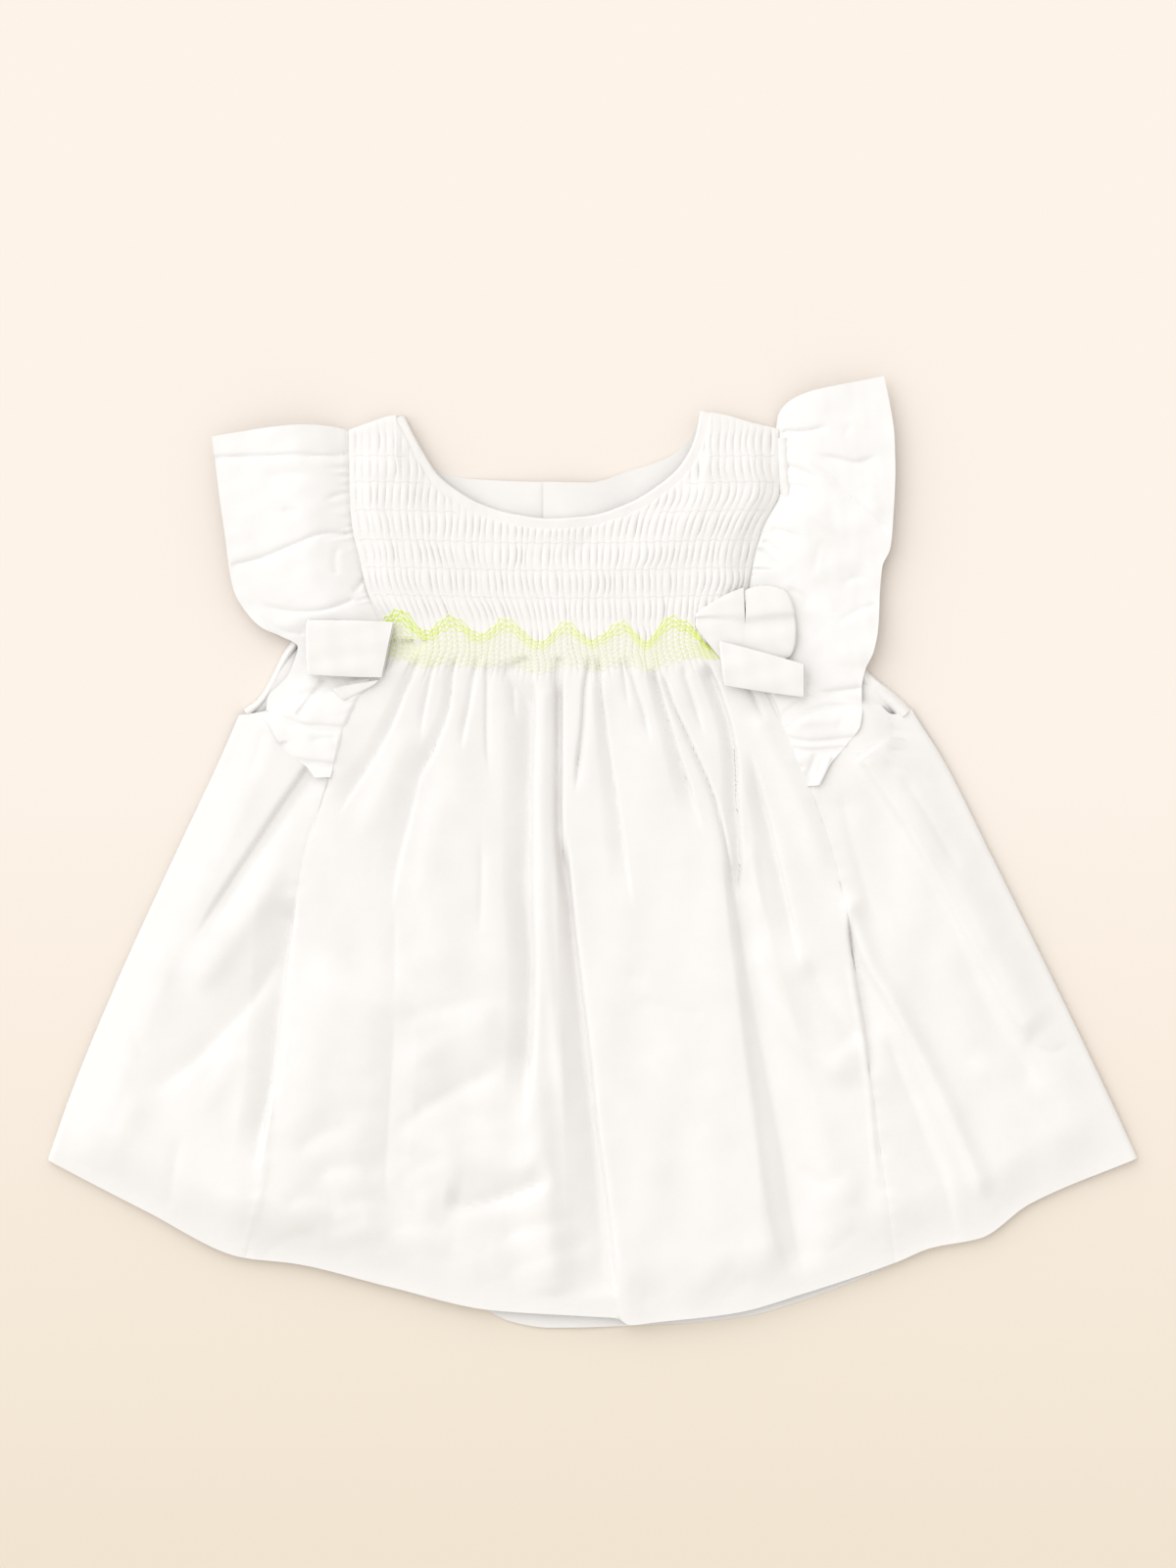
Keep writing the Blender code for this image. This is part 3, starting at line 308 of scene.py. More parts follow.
# Rows of smocking stitches at the left of the yoke, those hidden in the net, and how much lower they all
# lie in the middle, in photo pixels
STITCH_ROWS = (437, 465, 491.5, 520, 550, 578, 606)
ROWS_IN_NET = (634, 662, 690)
STITCH_SAG = 5.0
NET_TOP = [  # upper edge of the embroidered net, a zigzag
    (388, 636), (410, 624), (435, 646), (460, 630), (490, 648), (515, 633), (550, 656), (580, 636),
    (605, 654), (635, 636), (655, 656), (684, 631), (702, 638), (724, 660),
]
NET_FOOT = [
    (388, 668), (410, 672), (435, 680), (460, 677), (490, 681), (515, 678), (550, 687), (580, 679),
    (605, 684), (635, 678), (660, 684), (684, 676), (708, 671), (724, 673),
]
NET_ROWS = 6


def at(px, py):
    """Millimetres in the row frame under a photo pixel."""
    return (px - PHOTO_X0) * PX, (PHOTO_Y0 - py) * PX


def smooth(points):
    """The smooth curve through (at, value) points, as a function, that never swings past them."""
    table = np.array(sorted(points), float)
    ats, values = table[:, 0], table[:, 1]
    rises = np.diff(values) / np.diff(ats)
    slopes = np.concatenate([rises[:1], np.zeros(len(rises) - 1), rises[-1:]])
    for i in range(1, len(rises)):
        if rises[i - 1] * rises[i] > 0:
            slopes[i] = 2 * rises[i - 1] * rises[i] / (rises[i - 1] + rises[i])

    def value(x):
        x = np.clip(x, ats[0], ats[-1])
        i = np.clip(np.searchsorted(ats, x, side="right") - 1, 0, len(rises) - 1)
        span = ats[i + 1] - ats[i]
        t = (x - ats[i]) / span
        bend = t * (1 - t) * span * (slopes[i] * (1 - t) - slopes[i + 1] * t)
        return values[i] + (values[i + 1] - values[i]) * t * t * (3 - 2 * t) + bend

    return value


def step(low, high, x):
    """0 up to low and 1 from high, with a soft rise between."""
    t = np.clip((x - low) / (high - low), 0, 1)
    return t * t * (3 - 2 * t)


def mix(a, b, t):
    return a + (b - a) * t


def steps(count):
    """A column of shares from 0 to 1, to mix two rows of points by."""
    return np.linspace(0, 1, count + 1)[:, None]


def ripple(x, y, wavelength, seed, waves=8):
    """Soft uneven waves of about that length and of unit height."""
    random = np.random.default_rng(seed)
    total = np.zeros_like(x)
    for _ in range(waves):
        angle = random.uniform(0, 2 * math.pi)
        turn = 2 * math.pi / (wavelength * random.uniform(0.65, 1.6))
        total += np.sin(turn * (x * math.cos(angle) + y * math.sin(angle)) + random.uniform(0, 2 * math.pi))
    return total / math.sqrt(waves / 2)


def rounded_path(points, count=6):
    """Points along a smooth line through the given ones (Catmull-Rom), `count` to each stretch."""
    p = np.array(points, float)
    ends = np.vstack([2 * p[0] - p[1], p, 2 * p[-1] - p[-2]])
    line = []
    for a, b, c, d in zip(ends, ends[1:], ends[2:], ends[3:]):
        for t in np.arange(count) / count:
            bend = (2 * a - 5 * b + 4 * c - d) * t**2 + (3 * b - a - 3 * c + d) * t**3
            line.append(0.5 * (2 * b + (c - a) * t + bend))
    line.append(p[-1])
    return np.array(line)


def crease_height(x, y, creases):
    """Height of all the creases together: each falls off across its path and fades at its ends."""
    px, py = np.ravel(x), np.ravel(y)
    total = np.zeros(px.shape)
    for crease in (Crease(*row) for row in creases):
        path = rounded_path([at(*p) for p in crease.path])
        hands = [np.broadcast_to(width, 2) for width in (crease.lefthand, crease.righthand)]
        reach = (2.6 if crease.height > 0 else 3.2) * np.max(hands) + crease.flat
        best = np.full(px.shape, 1e9)
        on_left = np.zeros(px.shape, bool)
        along = np.zeros(px.shape)
        run = 0.0
        low, high = path.min(axis=0) - reach, path.max(axis=0) + reach
        near = np.flatnonzero((px > low[0]) & (px < high[0]) & (py > low[1]) & (py < high[1]))
        for a, b in zip(path, path[1:]):
            d = b - a
            length = math.hypot(*d)
            low, high = np.minimum(a, b) - reach, np.maximum(a, b) + reach
            nx, ny = px[near], py[near]
            i = near[(nx > low[0]) & (nx < high[0]) & (ny > low[1]) & (ny < high[1])]
            t = np.clip(((px[i] - a[0]) * d[0] + (py[i] - a[1]) * d[1]) / length**2, 0, 1)
            qx, qy = px[i] - a[0] - t * d[0], py[i] - a[1] - t * d[1]
            far = qx * qx + qy * qy
            closer = far < best[i]
            i, t, left = i[closer], t[closer], (qy * d[0] - qx * d[1] > 0)[closer]
            best[i] = far[closer]
            on_left[i] = left
            along[i] = run + t * length
            run += length
        fade = step(0, crease.start, along[near]) * step(0, crease.end, run - along[near])
        share = along[near] / run
        width = np.where(on_left[near], mix(*hands[0], share), mix(*hands[1], share))
        off = np.maximum(np.sqrt(best[near]) - crease.flat, 0) / width
        if crease.height > 0:
            shape = np.exp(-off**2)
        else:
            slope = np.clip(1 - off, 0, 1) ** (1.35 if crease.ramp < 1 else 1.0)
            shape = mix(np.exp(0.35 - 1.5 * np.sqrt(off**2 + 0.0545)), slope, crease.ramp)
        total[near] += crease.height * fade * shape
    return total.reshape(np.shape(x))


def two_lines(table):
    """The left and the right line of a table of levels, each giving x at y."""
    return (smooth([(row[0], row[side]) for row in table]) for side in (1, 2))


seam_left, seam_right = two_lines(FRONT_SEAMS)
side_left, side_right = two_lines(SIDES)
armhole_left, armhole_right = two_lines(ARMHOLES)
shoulder_y = smooth(SHOULDERS)
back_neck_y = smooth(BACK_NECK)
front_hem_y = smooth(FRONT_HEM)
back_hem_y = smooth(BACK_HEM)
side_top_left_y = smooth(SIDE_TOP_LEFT)
side_top_right_y = smooth(SIDE_TOP_RIGHT)
dome = smooth(DOME)
net_top_y = smooth([at(*p) for p in NET_TOP])
net_foot_y = smooth([at(*p) for p in NET_FOOT])


def set_off(points, distance):
    """The line `distance` to the right of a run of points, seen along it."""
    p = np.array(points, float)
    along = np.gradient(p, axis=0)
    along /= np.linalg.norm(along, axis=1, keepdims=True)
    return p + np.stack([along[:, 1], -along[:, 0]], axis=1) * distance


def neck_line(stations):
    p = np.array(FRONT_NECK, float)
    chord = np.concatenate([[0], np.cumsum(np.linalg.norm(np.diff(p, axis=0), axis=1))])
    s = np.linspace(0, chord[-1], stations + 1)
    return np.stack([smooth(list(zip(chord, p[:, 0])))(s), smooth(list(zip(chord, p[:, 1])))(s)], axis=1)


NECK = neck_line(120)
PANEL_NECK = set_off(NECK, NECK_BINDING_WIDTH - 0.8)
panel_neck_y = smooth([tuple(p) for p in PANEL_NECK])


def front_top_y(x):
    inside = (x >= PANEL_NECK[0][0]) & (x <= PANEL_NECK[-1][0])
    return np.where(inside, np.minimum(shoulder_y(x), panel_neck_y(x)), shoulder_y(x))


def placket_share(x, y):
    across = 1 - step(7, 40, np.abs(x - PLACKET_X))
    return across * step(PLACKET_END_Y - 2 * PLACKET_HALF_LAP, PLACKET_END_Y, y)


def edge_share(x, y):
    """0 on the outline of the front, where it is sewn to the back, and 1 well inside it."""
    inside = np.minimum(x - seam_left(y), seam_right(y) - x)
    top = np.where(y > 170, mix(0.6, 1, step(-4, 16, shoulder_y(x) - y)), 1.0)
    top *= mix(0.4, 1, step(0, 26, front_top_y(x) - y))
    yoke = step(-3, 14, inside) * top
    blend = step(60, SIDE_TOP_Y, y)
    left = mix(side_left(y), seam_left(SIDE_TOP_Y), blend)
    right = mix(side_right(y), seam_right(SIDE_TOP_Y), blend)
    inside = np.minimum(x - left, right - x)
    skirt = step(-2, 24, inside) * mix(0.15, 1, step(0, 30, y - front_hem_y(x)))
    skirt *= 1 - 0.34 * step(95, 220, x)
    return np.where(y > SIDE_TOP_Y, yoke, skirt)


def side_roll(x, y):
    """The rounded fold along the side seams, from the back's edge up to the front."""
    inside = np.maximum(np.minimum(x - side_left(y), side_right(y) - x), 0)
    share = 1 - np.minimum(inside / ROLL_WIDTH, 1)
    return np.where(y > SIDE_TOP_Y, 0.0, ROLL_HEIGHT * (np.sqrt(1 - share**2) - 1))


def seam_groove(x, y):
    """The furrow along a seam between two fronts, with its small puckers."""
    off = np.minimum(np.abs(x - seam_left(y)), np.abs(x - seam_right(y)))
    pucker = 0.16 * ripple(y, y * 0, 9.0, 21) * np.exp(-((off / 4.0) ** 2))
    return (-0.2 * np.exp(-((off / 1.6) ** 2)) + pucker) * step(100, 90, y)


def side_skin(x, y):
    """The outer skin of the side fronts, whose seam edges are tucked under the centre front."""
    inside = np.minimum(x - seam_left(y), seam_right(y) - x)
    return front_skin(x, y) - 0.12 * step(-0.7, 0.3, inside)


PRESSED_X, PRESSED_Y = at(430, 1170)  # the middle of the pressed and crumpled part


def front_skin(x, y, folded=True):
    """Height of the outer skin of the fronts, without their pleats."""
    height = dome(y)
    if folded:
        height = height + (FOLD_DEPTH * crease_height(x, y, SKIRT_FOLDS) + crease_height(x, y, WRINKLES))
    in_skirt = 1 - step(60, 90, y)
    height += in_skirt * (0.34 * ripple(x * 1.4, y * 0.8, 46, 3) + 0.07 * ripple(x * 1.3, y * 0.8, 20, 4))
    pressed = np.exp(-(((x - PRESSED_X) / 62) ** 2) - ((y - PRESSED_Y) / 52) ** 2)
    crumples = 0.20 * ripple(x * 0.8, y * 1.3, 24, 5) + 0.04 * ripple(x, y * 1.4, 10, 6)
    height += in_skirt * pressed * crumples
    height = 0.5 * (height + np.sqrt(height**2 + 0.5))  # never below zero, with a soft turn there
    under = WALL + STACK_GAP + height * edge_share(x, y)
    lift = WALL + (PLACKET_LIFT + WALL + STACK_GAP) * placket_share(x, y) + STACK_GAP
    hem_lift = 3.2 * np.exp(-(((x - 10) / 105) ** 2)) * step(40, 0, y - front_hem_y(x))
    edges = np.minimum(x - side_left(y), side_right(y) - x)
    puff = 1.2 * np.exp(-((edges / 14) ** 2)) * step(SIDE_TOP_Y, 80, y)
    return np.maximum(under, lift) + WALL + side_roll(x, y) + puff + hem_lift + seam_groove(x, y)


def beneath_front(x, y, reach):
    """The lowest height within reach of each point, so that a coarse skin stays under a fine one."""
    lowest = front_skin(x, y)
    ways = [(dx, 0) for dx in (-1, -0.67, -0.33, 0.33, 0.67, 1)] + [(0, dy) for dy in (-1, -0.5, 0.5, 1)]
    for dx, dy in ways:
        lowest = np.minimum(lowest, front_skin(x + reach * dx, y + reach * dy))
    return lowest


def add_object(name, data):
    made = bpy.data.objects.new(name, data)
    bpy.context.scene.collection.objects.link(made)
    return made


def mesh_object(name, points, faces, material):
    """One piece from points in millimetres. Its faces are turned outwards together."""
    mesh = bpy.data.meshes.new(name)
    mesh.from_pydata((np.asarray(points) * MM).tolist(), [], faces)
    work = bmesh.new()
    work.from_mesh(mesh)
    bmesh.ops.recalc_face_normals(work, faces=work.faces)
    work.to_mesh(mesh)
    work.free()
    mesh.shade_smooth()
    mesh.set_sharp_from_angle(angle=math.radians(62))
    mesh.materials.append(material)
    return add_object(name, mesh)


class Shell:
    """A closed thin cloth between two skins, each a list of rows of points."""

    def __init__(self):
        self.points, self.faces, self.count = [], [], 0

    def add(self, row):
        self.points.append(np.asarray(row, float))
        start = self.count
        self.count += len(row)
        return np.arange(start, self.count)

    def join(self, first, second):
        """Faces between two rows of points."""
        if len(first) == len(second):
            quads = np.stack([first[:-1], first[1:], second[1:], second[:-1]], axis=1)
            self.faces.extend(quads.tolist())
        else:
            self.zip(first, second)

    def zip(self, first, second):
        """Triangles between two rows with any counts, by equal shares along them."""
        i = j = 0
        n, m = len(first) - 1, len(second) - 1
        while i < n or j < m:
            if j == m or (i < n and (i + 1) * m <= (j + 1) * n):
                self.faces.append([int(first[i]), int(first[i + 1]), int(second[j])])
                i += 1
            else:
                self.faces.append([int(first[i]), int(second[j + 1]), int(second[j])])
                j += 1

    def skin(self, rows):
        indices = [self.add(row) for row in rows]
        for first, second in zip(indices, indices[1:]):
            self.join(first, second)
        return indices

    def close(self, outer, inner):
        for a, b in ((outer[0], inner[0]), (outer[-1], inner[-1])):
            self.zip(a, b)
        for end in (0, -1):
            self.zip([row[end] for row in outer], [row[end] for row in inner])

    def build(self, name, material):
        return mesh_object(name, np.vstack(self.points), self.faces, material)


def shell_object(name, outer, inner, material):
    shell = Shell()
    shell.close(shell.skin(outer), shell.skin(inner))
    return shell.build(name, material)


def cloth_object(name, x, y, outer, inner, material):
    """A closed thin cloth whose two skins differ only in their heights."""
    skins = [list(np.stack([x, y, z], axis=-1)) for z in (outer, inner)]
    return shell_object(name, *skins, material)


def settle(x_at, y_at, start):
    """y of the points whose x and y each follow from the other, for arrays of lines."""
    y = start
    for _ in range(40):
        y = mix(y, y_at(x_at(y)), 0.6)
    return y


# Materials


class Material:
    """A material in the making: what a node takes is a value, or the output of another node."""

    def __init__(self, name, values):
        self.made = bpy.data.materials.new(name)
        self.made.use_nodes = True
        self.tree = self.made.node_tree
        self.shader = self.tree.nodes["Principled BSDF"]
        self.give(self.shader, values)

    def give(self, node, values):
        for socket, value in values.items():
            if isinstance(value, bpy.types.NodeSocket):
                self.tree.links.new(value, node.inputs[socket])
            else:
                node.inputs[socket].default_value = value

    def node(self, kind, output, values, **settings):
        """Adds a node and returns its output."""
        added = self.tree.nodes.new("ShaderNode" + kind)
        for name, value in settings.items():
            setattr(added, name, value)
        self.give(added, values)
        return added.outputs[output]

    def place(self):
        return self.node("TexCoord", "Object", {})

    def turned(self, angle):
        return self.node("Mapping", "Vector", {"Vector": self.place(), "Rotation": (0, 0, angle)})

    def bump(self, strength, distance, height, **under):
        """A bump of so many millimetres, laid over another one's normals if they are given."""
        values = {"Strength": strength, "Distance": distance * MM, "Height": height, **under}
        return self.node("Bump", "Normal", values)

    def ramp(self, factor, *stops):
        """Colours read by a factor, from stops of a position and a colour."""
        added = self.tree.nodes.new("ShaderNodeValToRGB")
        elements = added.color_ramp.elements
        elements[0].position, elements[1].position = stops[0][0], stops[-1][0]
        for position, _ in stops[1:-1]:
            elements.new(position)
        for element, (_, colour) in zip(elements, stops):
            element.color = (*colour, 1)
        self.give(added, {"Fac": factor})
        return added.outputs["Color"]


def cotton(name, turn=0.0, tint=(0.82, 0.805, 0.79), crumple=1.0):
    """Plain-woven white cotton: two sets of threads in the bump, slubs, and a faint unevenness of colour."""
    cloth = Material(name, {"Roughness": 0.82, "Sheen Weight": 0.12, "Sheen Roughness": 0.5,
                            "Specular IOR Level": 0.25})
    place = cloth.turned(turn)
    uneven = cloth.node("TexNoise", "Fac", {"Vector": place, "Scale": 60.0, "Detail": 3.0})
    shade = (tint[0] * 0.975, tint[1] * 0.972, tint[2] * 0.965)
    threads = []
    for direction, pitch in (("X", 0.42), ("Y", 0.46)):
        scale = 2 * math.pi / 20 / (pitch * MM)  # at scale 1 the wave turns by 20 radians in a metre
        values = {"Vector": place, "Scale": scale, "Distortion": 0.6, "Detail": 1.0, "Detail Scale": 0.4}
        threads.append(cloth.node("TexWave", "Fac", values, wave_type="BANDS", bands_direction=direction))
    weave = cloth.node("Math", "Value", {0: threads[0], 1: threads[1]}, operation="ADD")
    values = {"Vector": place, "Scale": 210.0, "Detail": 4.0, "Roughness": 0.55}
    crumples = cloth.bump(0.25 * crumple, 0.5, cloth.node("TexNoise", "Fac", values))
    bump = cloth.bump(0.35, 0.05, weave, Normal=crumples)
    cloth.give(cloth.shader, {"Base Color": cloth.ramp(uneven, (0.3, shade), (0.7, tint)), "Normal": bump})
    return cloth.made


NET_LEVEL = 100  # y of the embroidered net, roughly


def thread(name, colour, shade, far_colour=None):
    """Spun thread: two plies in the bump and in the tone. Its colour may change along the yoke."""
    spun = Material(name, {"Roughness": 0.6, "Sheen Weight": 0.2, "Specular IOR Level": 0.3})
    plies = spun.node("TexWave", "Fac", {"Vector": spun.turned(0.7), "Scale": 900.0, "Distortion": 1.5})
    tone = spun.ramp(plies, (0, shade), (1, colour))
    if far_colour:
        x = spun.node("SeparateXYZ", "X", {"Vector": spun.place()})
        start, end = seam_left(NET_LEVEL) + 4, seam_right(NET_LEVEL) - 10
        span = spun.node("MapRange", "Result", {"Value": x, "From Min": start * MM, "From Max": end * MM})
        strengths = ((0, 1), (0.2, 0.35), (0.5, 0), (0.75, 0.25), (1, 1))
        away = spun.ramp(span, *((position, (strength,) * 3) for position, strength in strengths))
        values = {"Factor": away, "A": tone, "B": (*far_colour, 1)}
        tone = spun.node("Mix", "Result", values, data_type="RGBA")
    spun.give(spun.shader, {"Base Color": tone, "Normal": spun.bump(0.5, 0.08, plies)})
    return spun.made


def pearl():
    """Pearly white plastic with faint clouds."""
    shell = Material("pearl", {"Roughness": 0.22, "Coat Weight": 0.4})
    clouds = shell.node("TexNoise", "Fac", {"Vector": shell.place(), "Scale": 240.0, "Distortion": 1.5})
    tone = shell.ramp(clouds, (0, (0.86, 0.85, 0.81)), (1, (0.95, 0.945, 0.92)))
    shell.give(shell.shader, {"Base Color": tone})
    return shell.made


COTTON = cotton("cotton")
# The ruffles are the same cotton; their lighter tint is painted light, standing in for the brighter light
# they catch
COTTON_RUFFLE_PAINTED_LIGHT = cotton("cotton_ruffle_painted_light", turn=0.12, tint=(0.848, 0.838, 0.826), crumple=0.8)
COTTON_BOW = cotton("cotton_bow", turn=0.25, crumple=0.6)
WHITE_THREAD = thread("white_thread", (0.82, 0.81, 0.795), (0.76, 0.75, 0.73))
LIME_THREAD = thread("lime_thread", (0.81, 0.86, 0.50), (0.78, 0.84, 0.42), (0.70, 0.82, 0.20))
PALE_LIME_THREAD = thread("pale_lime_thread", (0.82, 0.84, 0.70), (0.79, 0.82, 0.62), (0.77, 0.82, 0.45))
PEARL = pearl()


def show(piece, slot, *nodes):
    """Rides the piece on the dress, and hides the solids it stands for."""
    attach(piece, "root")
    if nodes:
        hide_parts(*nodes)


# Centre front

SAMPLES = 7  # columns of points to a pleat
COLUMNS = PLEATS * SAMPLES
FINE_FOOT_Y = 52.0  # the fine columns reach down to here
FAR_ABOVE = 300.0  # y of a top edge that is too far off to matter
YOKE_ROWS, GATHER_ROWS, SKIRT_ROWS = 80, 28, 112
SKIRT_COLUMNS = PLEATS * 6
INSIDE_COLUMNS, INSIDE_ROWS = 102, 110
COLUMN_REACH = 3.2  # from one coarse column of the inside to the next
INSIDE_LOWEST = 1.9
HELD_DEPTH = 0.32  # of the furrows, on a row of stitches
SAG_X = at(576, 0)[0]  # the rows of stitches hang lowest here
random = np.random.default_rng(11)
pleat_fade = random.uniform(3, 12, PLEATS + 1)  # how far below the net each furrow still shows


def uneven_rows(rows=12, run=9):
    """A table by row of stitches and pleat whose values change slowly from pleat to pleat."""
    return np.array([np.convolve(random.normal(0, 1, PLEATS + run), np.ones(run) / run, "valid")
                     for _ in range(rows)])


row_shift = uneven_rows()
row_bow = uneven_rows()
pleat_wobble = random.normal(0, 1, (12, PLEATS + 1))


def row_sag(x):
    return STITCH_SAG * PX * np.exp(-(((x - SAG_X) / 75) ** 2))


def stitch_row(x, y):
    """Rows of stitches counted from the top, whole numbers on the rows."""
    rows = [-at(0, py)[1] for py in STITCH_ROWS + ROWS_IN_NET]
    return np.interp(-(y + row_sag(x)), rows, np.arange(len(rows)))


def pleated(share, x, y, top_y):
    """Outer skin of the smocked front: x with the pleats' sway, and z."""
    share = np.broadcast_to(share, x.shape)
    phase = share * PLEATS
    nearest = np.clip(np.round(phase).astype(int), 0, PLEATS)
    off = np.abs(phase - np.round(phase))
    round_top = np.sin(math.pi * np.clip(off, 0, 0.5)) ** 0.45
    row = stitch_row(x, y)
    band = np.floor(row).astype(int)
    part = row - band

    def at_pleat(table, index):
        """A table by row of stitches and pleat, read softly between pleats."""
        flat = np.clip(phase, 0, PLEATS - 1e-6)
        i = flat.astype(int)
        t = flat - i
        index = np.clip(index, 0, len(table) - 1)
        return table[index, i] * (1 - t) + table[index, i + 1] * t

    slide = mix(at_pleat(row_shift, band), at_pleat(row_shift, band + 1), part)
    bow = at_pleat(row_bow, band) + 0.25 * at_pleat(pleat_wobble, band)
    inner = step(0, 0.03, share) * step(0, 0.03, 1 - share)
    loose = inner * step(SMOCK_BOTTOM_Y - 12, SMOCK_BOTTOM_Y + 6, y)
    sway = (1.7 * slide + 1.3 * bow * np.sin(math.pi * part)) * loose

    held = 1 - step(0.05, 0.38, part) * step(0.05, 0.38, 1 - part)  # 1 on a row of stitches
    net = step(-1.5, 2.5, net_top_y(x) - y)
    deep = mix(mix(1.0, HELD_DEPTH, held) * (1 + 0.25 * at_pleat(pleat_wobble, band)), 0.42, net)
    below = np.maximum(net_foot_y(x) - y, 0)
    fade = 1 - step(0, 1, below / pleat_fade[nearest])
    deep = mix(deep, 0.7, step(0, 3, below)) * np.where(below > 0, fade, 1)
    near_top = step(0.1, 2.0, top_y - y)
    deep *= near_top
    rise = PLEAT_HEIGHT * (1 - step(0, 26, below)) * mix(0.55, 1, near_top)
    rise -= 0.3 * held * (1 - net) * near_top * step(0, 1, row)
    z = front_skin(x, y) + rise - 0.8 * deep * (1 - round_top)
    return x + sway, y, z


def front_x(share, y):
    return mix(seam_left(y), seam_right(y), share)


def front_lines(count):
    """Shares across the centre front, and y of its columns on the top edge and on the hem."""
    share = np.arange(count + 1) / count
    ends = [settle(lambda y: front_x(share, y), edge_y, np.full(count + 1, start))
            for edge_y, start in ((front_top_y, 164.0), (front_hem_y, -200.0))]
    return share, *ends


def front_piece():
    share, top, _ = front_lines(COLUMNS)
    gathers = mix(SMOCK_BOTTOM_Y, FINE_FOOT_Y, steps(GATHER_ROWS)[1:])
    y = np.vstack([mix(top, SMOCK_BOTTOM_Y, steps(YOKE_ROWS)),
                   np.broadcast_to(gathers, (GATHER_ROWS, COLUMNS + 1))])
    outer = list(np.stack(pleated(share, front_x(share, y), y, top), axis=-1))
    share, _, hem = front_lines(SKIRT_COLUMNS)
    y = mix(FINE_FOOT_Y, hem, steps(SKIRT_ROWS)[1:])
    outer += list(np.stack(pleated(share, front_x(share, y), y, FAR_ABOVE), axis=-1))
    share, top, hem = front_lines(INSIDE_COLUMNS)
    y = mix(top, hem, steps(INSIDE_ROWS))
    x = front_x(share, y)
    drop = mix(CLOTH, TURNED, 1 - step(*HEM_EDGE, y - hem))
    z = np.maximum(beneath_front(x, y, COLUMN_REACH), INSIDE_LOWEST) - drop
    inner = list(np.stack([x, y, z], axis=-1))
    return shell_object("front", outer, inner, COTTON)


show(front_piece(), "cotton", "front_panel")


# Plain panels: where each hem is looked for first is only a start

SIDE_GRID, BACK_GRID = (104, 180), (84, 170)  # columns and rows
LOWEST = 0.03  # no cloth comes closer to the surface


def panel(name, grid, lines, top_y, hem_y, hem_start, outer_z, fine_edges=False):
    """A plain panel between two lines; its columns may lie closer at its edges."""
    columns, rows = grid
    share = np.arange(columns + 1) / columns
    if fine_edges:
        share = mix(share, step(0, 1, share), 0.55)

    def x_at(y):
        return mix(lines[0](y), lines[1](y), share)

    top = settle(x_at, top_y, np.full(columns + 1, 90.0))
    hem = settle(x_at, hem_y, np.full(columns + 1, hem_start))
    y = mix(top, hem, steps(rows))
    x = x_at(y)
    z = outer_z(x, y)
    thickness = mix(CLOTH, CLOTH + 0.5, 1 - step(*HEM_EDGE, y - hem))
    return cloth_object(name, x, y, z, np.maximum(z - thickness, LOWEST), COTTON)


SIDE_PANELS = [
    ("left", (side_left, lambda y: seam_left(y) + 0.8), side_top_left_y),
    ("right", (lambda y: seam_right(y) - 0.8, side_right), side_top_right_y),
]
for hand, lines, top_y in SIDE_PANELS:
    piece = panel("side_" + hand, SIDE_GRID, lines, top_y, front_hem_y, -170.0, side_skin, fine_edges=True)
    show(piece, "cotton", "side_front_" + hand)

# Back

BACK_CREASES = [
    ([(560, 700), (556, 860), (540, 1080), (520, 1340)], 6, 6, 0.35, 20, 10),
    ([(440, 760), (400, 960), (330, 1240)], 8, 8, 0.3, 20, 10),
    ([(690, 760), (740, 960), (800, 1240)], 8, 8, 0.3, 20, 10),
]
# Where the back stands up inside an armhole, and how high
ARMHOLE_PUFFS = ((at(294, 684), 3.6), (at(266, 712), 3.2), (at(888, 701), 4.0), (at(904, 706), 2.2))
HEM_LIFT_X = at(575, 0)[0]


def back_z(lift):
    def outer(x, y):
        wave = 0.10 * ripple(x, y, 30, 31) + crease_height(x, y, BACK_CREASES)
        hem_lift = 1.2 * np.exp(-(((x - HEM_LIFT_X) / 60) ** 2)) * step(26, 0, y - back_hem_y(x))
        puff = sum(h * np.exp(-(((x - px) / 13) ** 2) - ((y - py) / 12) ** 2)
                   for (px, py), h in ARMHOLE_PUFFS)
        return 0.62 + np.maximum(wave, -0.1) + hem_lift + puff + lift * placket_share(x, y)

    return outer


def back_edge(side, armhole, inward, armpit=65):
    """The outer edge of a back half, a little inside the armhole's line."""
    return lambda y: np.where(y > armpit, armhole(y) + inward, side(y) + inward * step(40, armpit, y))


def back_top_y(x):
    inside = (x > BACK_NECK[0][0]) & (x < BACK_NECK[-1][0])
    return np.where(inside, np.minimum(back_neck_y(x), shoulder_y(x)), shoulder_y(x))


def lap(y, width):
    return mix(0.0, width, step(PLACKET_END_Y, PLACKET_END_Y + LAP_START, y))


BACK_PANELS = [
    ("left", (back_edge(side_left, armhole_left, 2.0), lambda y: PLACKET_X + lap(y, PLACKET_HALF_LAP)),
     PLACKET_LIFT),
    ("right", (lambda y: PLACKET_X - lap(y, 0.8), back_edge(side_right, armhole_right, -2.0)),
     PLACKET_LIFT + WALL + STACK_GAP),
]
for hand, lines, lift in BACK_PANELS:
    piece = panel("back_half_" + hand, BACK_GRID, lines, back_top_y, back_hem_y, -190.0, back_z(lift))
    show(piece, "cotton", "back_" + hand)

# Ruffles

RUFFLE_COLUMNS, RUFFLE_ROWS = 300, 56
RUFFLE_FOOT = 3.2
RUFFLE_HEM = (3.2, 3.8)
GATHER_PITCH = 5.4


